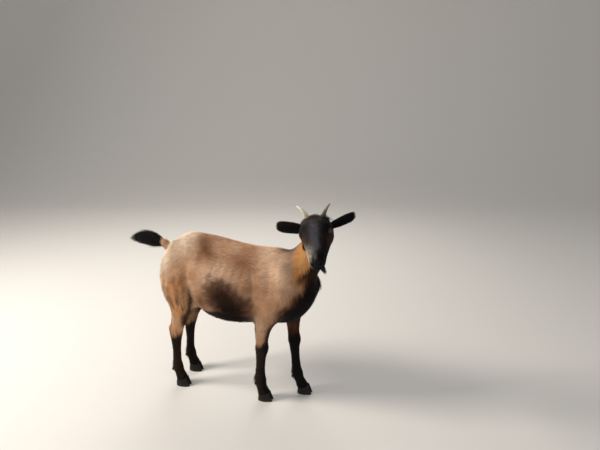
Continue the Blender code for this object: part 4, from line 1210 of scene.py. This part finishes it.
def coat_parts(goat, head, ears, on_head):
    """Which hairs make up each piece of the coat."""
    x, y, z = goat.T
    face = (on_head > 0.5) & ~ears
    legs = ~ears & ~face & (z < 0.40) & ((x < -0.375) | (x > -0.125))
    body = ~ears & ~face & ~legs
    parts = {"coat_ears": ears}
    for name, own, beside in (("left", y > 0, head[:, 1] > 0), ("right", y <= 0, head[:, 1] < 0)):
        parts["coat_head_" + name] = face & beside
        parts["coat_fore_leg_" + name] = legs & own & (x > -0.2)
        parts["coat_hind_leg_" + name] = legs & own & (x < -0.2)
        parts["coat_rump_" + name] = body & own & (x <= -0.33)
        parts["coat_flank_" + name] = body & own & (x > -0.33) & (x <= -0.13)
        parts["coat_front_" + name] = body & own & (x > -0.13)
    return parts


def grow_coat(ground):
    """Short hair over the whole skin, in pieces by part of the body and layer of the coat."""
    goat = carried(ground.middle, GOAT.inverted())
    head = carried(ground.middle, HEAD.inverted())
    on_head = head_share(head)
    density = coat_sizes(goat, head, ground.out, on_head)[3]
    density = np.where(on_ears(head, on_head), EAR_HAIR["density"], density)
    density = density * haired(ground.middle, goat, head, on_head)
    root, out, uv = ground.roots(density * (1))
    count = len(root)
    goat, head = carried(root, GOAT.inverted()), carried(root, HEAD.inverted())
    on_head = head_share(head)
    ears = on_ears(head, on_head)
    length, width, lift, _ = coat_sizes(goat, head, out, on_head)
    length = np.where(ears, EAR_HAIR["length"], length)
    lift = np.where(ears, EAR_HAIR["lift"], lift)
    width = np.where(ears, EAR_HAIR["width"], width)
    lie = lie_of_hair(goat, head, on_head)
    for side in (1, -1):
        own = ears & (np.sign(head[:, 1]) == side)
        lie[own] = array_of(HEAD)[:3, :3] @ np.array(EAR_ALONG[side])
    # Laid along the skin, turned a little each, and varied in length, lift and width
    swirl = 0.18 * layered(root, 26, 21) + 0.11 * rng.standard_normal(count)
    lie = unit(lie - (lie * out).sum(axis=1, keepdims=True) * out)
    lie = unit(lie * np.cos(swirl)[:, None] + np.cross(lie, out) * np.sin(swirl)[:, None])
    across = np.cross(lie, out)
    length = length * (1 + 0.28 * layered(root, 70, 25)) * rng.uniform(0.75, 1.25, count)
    lift = lift * rng.uniform(0.45, 1.35, count) * (1 + 0.35 * layered(root, 45, 29))
    width = width * rng.uniform(0.8, 1.25, count)
    bend = rng.normal(0, 0.12, count)
    under = rng.random(count) < np.where(on_head > 0.5, 0.0, 0.55)
    # Each hair a little darker or lighter, warmer or colder than the colour painted at its root
    varies = np.where(goat[:, 2] < 0.24, 0.09, 0.13)
    colours = markings_and_painted_light(root, out)
    colours = colours * (1 + varies * rng.standard_normal(count)).clip(0.6, 1.5)[:, None]
    warm = 1 + 0.05 * rng.standard_normal(count)
    colours = colours * np.column_stack([warm, np.ones(count), 2 - warm])
    made = []
    parts = coat_parts(goat, head, ears, on_head)
    for layer, (shares, rise) in HAIR_LAYERS.items():
        shares, rise = np.array(shares), np.array(rise)
        for name, part in parts.items():
            own = part & (under if layer else ~under)
            if not own.any():
                continue
            along = lie[own, None] * (length[own, None] * shares)[:, :, None]
            raised = out[own, None] * (lift[own, None] * rise)[:, :, None]
            curl = across[own, None] * ((length * bend)[own, None] * shares**2)[:, :, None]
            paths = root[own, None] + along + raised + curl
            made.append(strands(name + layer, paths, across[own], out[own], width[own], uv[own],
                                colours[own], soft=0.65))
    return made


TAIL_LOCKS = (2600, 700)
BEARD_LOCKS = (420, 140)


def long_hair(name, roots, tips, mids, width, uv, colours, levels=7):
    """Long thin locks along curves through a root, a middle and a tip."""
    shares = np.linspace(0, 1, levels)[None, :, None]
    start, middle, end = roots[:, None], mids[:, None], tips[:, None]
    paths = (1 - shares) ** 2 * start + 2 * shares * (1 - shares) * middle + shares**2 * end
    along = unit(tips - roots)
    across = unit(np.cross(along, unit(mids - (roots + tips) / 2) + 1e-6))
    return strands(name, paths, across, np.cross(across, along), width, uv, colours)


def tail_hair(ground, material):
    """Bushy black hair from the end of the dock, drawn back to a tip."""
    count = TAIL_LOCKS[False]
    start = np.interp(rng.random(count) ** 0.9, (0, 1), (-0.532, -0.604))
    turn = rng.uniform(0, 2 * math.pi, count)
    dock, tuft = np.array(DOCK), smooth_rows(TUFT)

    def around(x, share):
        x = np.maximum(x, TUFT[-1][0])
        up, high, wide = (np.interp(-x, -tuft[:, 0], tuft[:, k]) for k in (2, 3, 4))
        return np.column_stack([x, np.cos(turn) * wide * share, up + np.sin(turn) * high * share])

    radius = np.interp(-start, -dock[:, 0], dock[:, 3]) * 0.85
    level = np.interp(-start, -dock[:, 0], dock[:, 2])
    roots = np.column_stack([start, np.cos(turn) * radius, level + np.sin(turn) * radius])
    reach = rng.uniform(0.052, 0.102, count)
    spread = rng.uniform(0.45, 1.08, count)
    tips = around(start - reach, spread * rng.uniform(0.75, 1.05, count))
    over = np.maximum(TUFT[-1][0] - (start - reach), 0)
    tips[:, 0] -= over * 0.12
    tips += rng.normal(0, 0.0034, (count, 3))
    mids = around(start - reach * 0.42, spread * 1.12)
    uv = nearest_uv(ground, carried(roots, GOAT))
    colours = np.tile(BLACK, (count, 1)) * rng.uniform(0.7, 1.7, count)[:, None]
    brown = rng.random(count) < 0.12 * ramp(start, -0.56, -0.535)
    colours[brown] = DARK * 1.3
    width = rng.uniform(0.0011, 0.0025, count)
    curves = (carried(points, GOAT) for points in (roots, tips, mids))
    hair = long_hair("tail_hair", *curves, width, uv, colours)
    return piece(hair, "black_hair", material, "tail")


def beard_hair(ground, material):
    """A small tuft under the chin that hangs to one tip."""
    count = BEARD_LOCKS[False]
    root, tip = np.array(BEARD_AT), np.array(BEARD_TIP)
    turn, far = rng.uniform(0, 2 * math.pi, count), np.sqrt(rng.random(count))
    out = np.column_stack([np.cos(turn) * 1.3, np.sin(turn), np.zeros(count)]) * far[:, None]
    roots = root + out * BEARD_RADIUS * 0.8
    length = rng.uniform(0.55, 1.02, count)[:, None]
    tips = roots + (tip - root) * length - out * BEARD_RADIUS * 0.45
    tips = tips + rng.normal(0, 0.0018, (count, 3))
    mids = (roots + tips) / 2 + out * BEARD_RADIUS * 0.35
    uv = nearest_uv(ground, carried(roots, HEAD))
    colours = np.tile(DARK, (count, 1)) * rng.uniform(0.35, 1.3, count)[:, None]
    width = rng.uniform(0.0012, 0.0022, count)
    curves = (carried(points, HEAD) for points in (roots, tips, mids))
    hair = long_hair("beard_hair", *curves, width, uv, colours, levels=6)
    return piece(hair, "dark_hair", material, "beard")


def nearest_uv(ground, points):
    """The unwrap of the skin at the triangle nearest to each point."""
    tree = KDTree(len(ground.middle))
    for index, place in enumerate(ground.middle):
        tree.insert(place, index)
    tree.balance()
    return np.array([ground.uv[tree.find(place)[1]].mean(axis=0) for place in points])


# Horns, hooves and eyes


def horn_material(name, root_colour, tip_colour):
    paint = Paint(name, Roughness=0.42, Coat_Weight=0.15)
    rise = paint.attribute("Rise")
    rings = paint.grain(240.0, (1.0, 1.0, 1.0), 4.0)
    colour = paint.mixed((rise + rings * 0.3 - 0.15).between(0.05, 0.85), root_colour, tip_colour)
    streaks = paint.grain(520.0, (1.0, 1.0, 0.2))
    paint.feed(Base_Color=paint.scaled(colour, streaks * 0.5 + 0.75))
    paint.bump(streaks, 0.25, 0.0004)
    return paint.material


def make_horn(side, name, material, slot):
    """A slender horn that rises, then sweeps back and outwards, ringed near its root."""
    levels, around = 90, 28
    shares = np.linspace(0, 1, levels)
    turned = (shares ** HORN_BEND[side])[:, None]
    start, end = unit(np.array(HORN_START[side])), unit(np.array(HORN_END[side]))
    ways = unit((1 - turned) * start + turned * end)
    steps = ways * HORN_LENGTH[side] / (levels - 1)
    path = np.array((HORN_AT.x, HORN_AT.y * side, HORN_AT.z)) + np.cumsum(steps, axis=0)
    phase = shares**0.85 * HORN_RINGS * 2 * math.pi
    rings = (0.045 * np.cos(phase) + 0.020 * np.cos(phase * 2.7 + 1)) * (1 - shares) ** 0.8
    radius = HORN_RADIUS[side] * ((1 - shares) ** 0.62 * 0.97 + 0.04) * (1 + rings)
    mesh = lofted(name, swept(path, radius, radius * 1.22, around=around))
    paint_points(mesh, np.append(np.repeat(shares, around), (0.0, 1.0))[:, None], "Rise")
    mesh.transform(HEAD @ Matrix.Rotation(HORN_LEAN, 4, "X"))
    horn = added(name + "_fine", mesh)
    mesh.shade_smooth()
    return piece(horn, slot, material, name)


HOOF_VOXEL = 0.0012
GROWTH_LINE = 0.0042


def make_hooves():
    """Claws and dewclaws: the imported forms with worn, rounded edges and fine growth lines."""
    names = sorted(name for name in frame["nodes"] if "claw" in name)
    hooves = joined("hooves", [copy_of(name) for name in names])
    with_modifier(hooves, "REMESH", mode="VOXEL", voxel_size=HOOF_VOXEL)
    points = points_of(hooves.data)
    points = relaxed(points, edges_of(hooves.data), 3, np.full(len(points), 0.5))
    move_points(hooves.data, points)
    out = normals_of(hooves.data)
    wall = 1 - np.abs(out[:, 2])
    slope = points[:, 2] - 0.22 * points[:, 0]
    lines = np.sin(slope * 2 * math.pi / GROWTH_LINE + 1.5 * drift(points, 60, 31))
    worn = 0.00016 * lines + 0.00022 * layered(points, 160, 33)
    points = points + out * (wall * worn)[:, None]
    points[points[:, 2] < 0.0009, 2] = 0
    move_points(hooves.data, points)
    hooves.data.shade_smooth()
    paint = Paint("hoof_horn", Roughness=0.55, Specular_IOR_Level=0.25)
    dust = paint.node("ShaderNodeSeparateXYZ", None, (paint.place(),))[2].between(0.018, 0.001)
    colour = paint.mixed(paint.grain(180.0, (1, 1, 2.5)), linear(12, 10, 9), linear(34, 28, 24))
    colour = paint.mixed(dust * 0.20 * paint.grain(320.0), colour, linear(120, 104, 86))
    paint.feed(Base_Color=colour, Roughness=paint.grain(260.0) * 0.3 + 0.42)
    paint.bump(paint.grain(420.0, (1, 1, 3.0)), 0.3, 0.0004)
    return piece(hooves, "hoof", paint.material, *names)


# Width of the iris's map beside the eyeball
IRIS_SHARE = 0.80


def eye_material():
    """A wet amber iris with a level slot for a pupil, read from the Gaze map on the eyeball."""
    paint = Paint("eye_wet", Roughness=0.35, Specular_IOR_Level=0.2, Coat_Weight=0.45,
                  Coat_Roughness=0.04)
    gaze = paint.node("ShaderNodeUVMap", {"uv_map": "Gaze"})[0]
    a, b = paint.node("ShaderNodeSeparateXYZ", None, (gaze,))[:2]
    away = (a * a + b * b) ** 0.5
    beyond = a.maths("MAXIMUM", a.maths("ABSOLUTE", a) - 0.36, 0.0)
    pupil = ((beyond * beyond + b * b) ** 0.5).between(0.165, 0.125)
    inputs = {"Vector": gaze, "Scale": 14.0, "Detail": 4.0}
    fibres = paint.node("ShaderNodeTexNoise", None, inputs)[0]
    iris = paint.mixed(fibres, linear(48, 27, 12), linear(116, 71, 28))
    iris = paint.mixed(away.between(0.66, 0.84), iris, linear(40, 24, 14))
    ball = paint.mixed(away.between(0.80, 0.88), iris, linear(58, 44, 38))
    paint.feed(Base_Color=paint.mixed(pupil, ball, (0.002, 0.002, 0.003)))
    return paint.material


def make_eyeball(side, name, material):
    """An eyeball with a slight bulge over the iris."""
    select_only(next(iter(frame["nodes"].values())))
    bpy.ops.mesh.primitive_uv_sphere_add(segments=48, ring_count=32, radius=EYE_RADIUS)
    eyeball = bpy.context.active_object
    eyeball.name = eyeball.data.name = "eyeball_" + name
    points = points_of(eyeball.data)
    flat = np.hypot(points[:, 0], points[:, 1]) / EYE_RADIUS
    points[:, 2] += 0.0006 * ramp(flat, 0.62, 0.30) * (points[:, 2] > 0)
    move_points(eyeball.data, points)
    corner = read(eyeball.data.loops, "vertex_index", 1, np.int32)[:, 0]
    values = points[:, :2] / (EYE_RADIUS * IRIS_SHARE)
    values[points[:, 2] < 0] = 2.0
    gaze = eyeball.data.uv_layers.new(name="Gaze")
    gaze.data.foreach_set("uv", values[corner].astype(np.float32).ravel())
    eyeball.data.transform(eye_lie(side))
    eyeball.data.shade_smooth()
    return piece(eyeball, "eye", material, "eye_" + name)


def make_lid_rim(side, name, material):
    """A dark moist rim round the gap between the lids, thicker above."""
    sides = 10
    turn = np.linspace(0, 2 * math.pi, 65)[:-1]
    a, b = np.cos(turn) * EYE_LENGTH / 2, np.sign(np.sin(turn)) * almond(np.cos(turn))
    c = np.sqrt(np.maximum((EYE_RADIUS + 0.0006) ** 2 - a**2 - b**2, 0))
    centre = np.column_stack([a, b, c])
    radial = unit(centre)[:, None]
    beside = np.cross(unit(np.roll(centre, -1, axis=0) - np.roll(centre, 1, axis=0)), unit(centre))
    thick = (0.0009 + 0.0003 * (b > 0))[:, None, None]
    spin = (np.arange(sides) * 2 * math.pi / sides)[None, :, None]
    tube = centre[:, None] + thick * (np.cos(spin) * radial + np.sin(spin) * beside[:, None])
    faces = []
    for i in range(len(turn)):
        k = (i + 1) % len(turn)
        for j in range(sides):
            m = (j + 1) % sides
            faces.append((i * sides + j, k * sides + j, k * sides + m, i * sides + m))
    mesh = mesh_from("lid_rim_" + name, tube.reshape(-1, 3), faces)
    face_out(mesh)
    mesh.transform(eye_lie(side))
    mesh.shade_smooth()
    return piece(added("lid_rim_" + name, mesh), "black_coat", material)


def make_eyes():
    """Both eyeballs, set in the rims of their lids."""
    wet, rim = eye_material(), Paint("lid_rim", Roughness=0.35)
    dark, brown = linear(16, 12, 12), linear(44, 36, 34)
    rim.feed(Base_Color=rim.mixed(rim.grain(600.0), dark, brown))
    for side, name in ((1, "left"), (-1, "right")):
        make_eyeball(side, name, wet)
        make_lid_rim(side, name, rim.material)


# Studio


def make_studio():
    """A pale floor that sweeps up behind, soft lights and the camera."""
    scene = bpy.context.scene
    aim = CAMERA_AIM.normalized()
    side = Vector((aim.y, -aim.x, 0))
    rows = [(FLOOR_NEAR, 0.0), (FLOOR_FAR, 0.0)]
    for turn in np.linspace(0, math.pi / 2, 13)[1:]:
        rows.append((FLOOR_FAR + SWEEP * math.sin(turn), SWEEP * (1 - math.cos(turn))))
    rows.append((FLOOR_FAR + SWEEP, WALL_HEIGHT))
    points = [aim * out + side * across + Vector((0, 0, up))
              for out, up in rows for across in (-FLOOR_HALF, FLOOR_HALF)]
    faces = [(2 * i, 2 * i + 1, 2 * i + 3, 2 * i + 2) for i in range(len(rows) - 1)]
    floor = added("studio_floor", mesh_from("studio_floor", points, faces))
    floor.data.shade_smooth()
    paint = Paint("studio_pale", Roughness=0.9)
    paint.shader.inputs["Base Color"].default_value = (*linear(226, 221, 214), 1)
    floor.data.materials.append(paint.material)
    scene.world = bpy.data.worlds.new("studio")
    scene.world.use_nodes = True
    around = scene.world.node_tree.nodes["Background"]
    around.inputs["Color"].default_value = (0.94, 0.96, 1.0, 1)
    around.inputs["Strength"].default_value = WORLD_LIGHT
    for name, place, size, energy, colour in LIGHTS:
        lamp = added(name, bpy.data.lights.new(name, "AREA"))
        lamp.data.energy, lamp.data.size, lamp.data.color = energy, size, colour
        lamp.location = place
        lamp.rotation_mode = "QUATERNION"
        lamp.rotation_quaternion = (Vector(place) - LIGHTS_AIM).to_track_quat("Z", "Y")
    eye = added("camera", bpy.data.cameras.new("camera"))
    eye.data.sensor_width, eye.data.lens = SENSOR_WIDTH, CAMERA_LENS
    eye.location = GOAT @ CAMERA_AT
    down = aim * math.cos(CAMERA_PITCH) - Vector((0, 0, math.sin(CAMERA_PITCH)))
    eye.rotation_mode = "QUATERNION"
    eye.rotation_quaternion = down.to_track_quat("-Z", "Y")
    scene.camera = eye
    scene.view_settings.view_transform = "Standard"


def main():
    coat_paint = hair_paint("coat_hair", 0.60, 0.03)
    skin_paint = hair_paint("skin_under_coat", 0.75, 0.03)
    skin = make_skin()
    unwrapped(skin)
    skin.data.shade_smooth()
    colours = markings_and_painted_light(points_of(skin.data), normals_of(skin.data)) * SKIN_SHADE
    paint_points(skin.data, np.clip(colours, DARKEST, 1))
    piece(skin, "tan_coat", skin_paint, *FLESH, "ear_left", "ear_right")
    ground = Ground(skin.data)
    for thing in grow_coat(ground):
        dark = thing.name.startswith(("coat_head", "coat_ears"))
        piece(thing, "black_coat" if dark else "tan_coat", coat_paint)
    tail_hair(ground, coat_paint)
    beard_hair(ground, coat_paint)
    brown = horn_material("brown_horn", linear(60, 46, 36), linear(120, 98, 76))
    pale = horn_material("pale_horn", linear(208, 188, 158), linear(250, 240, 220))
    make_horn(1, "horn_left", brown, "brown_horn")
    make_horn(-1, "horn_right", pale, "pale_horn")
    make_hooves()
    make_eyes()
    make_studio()


main()
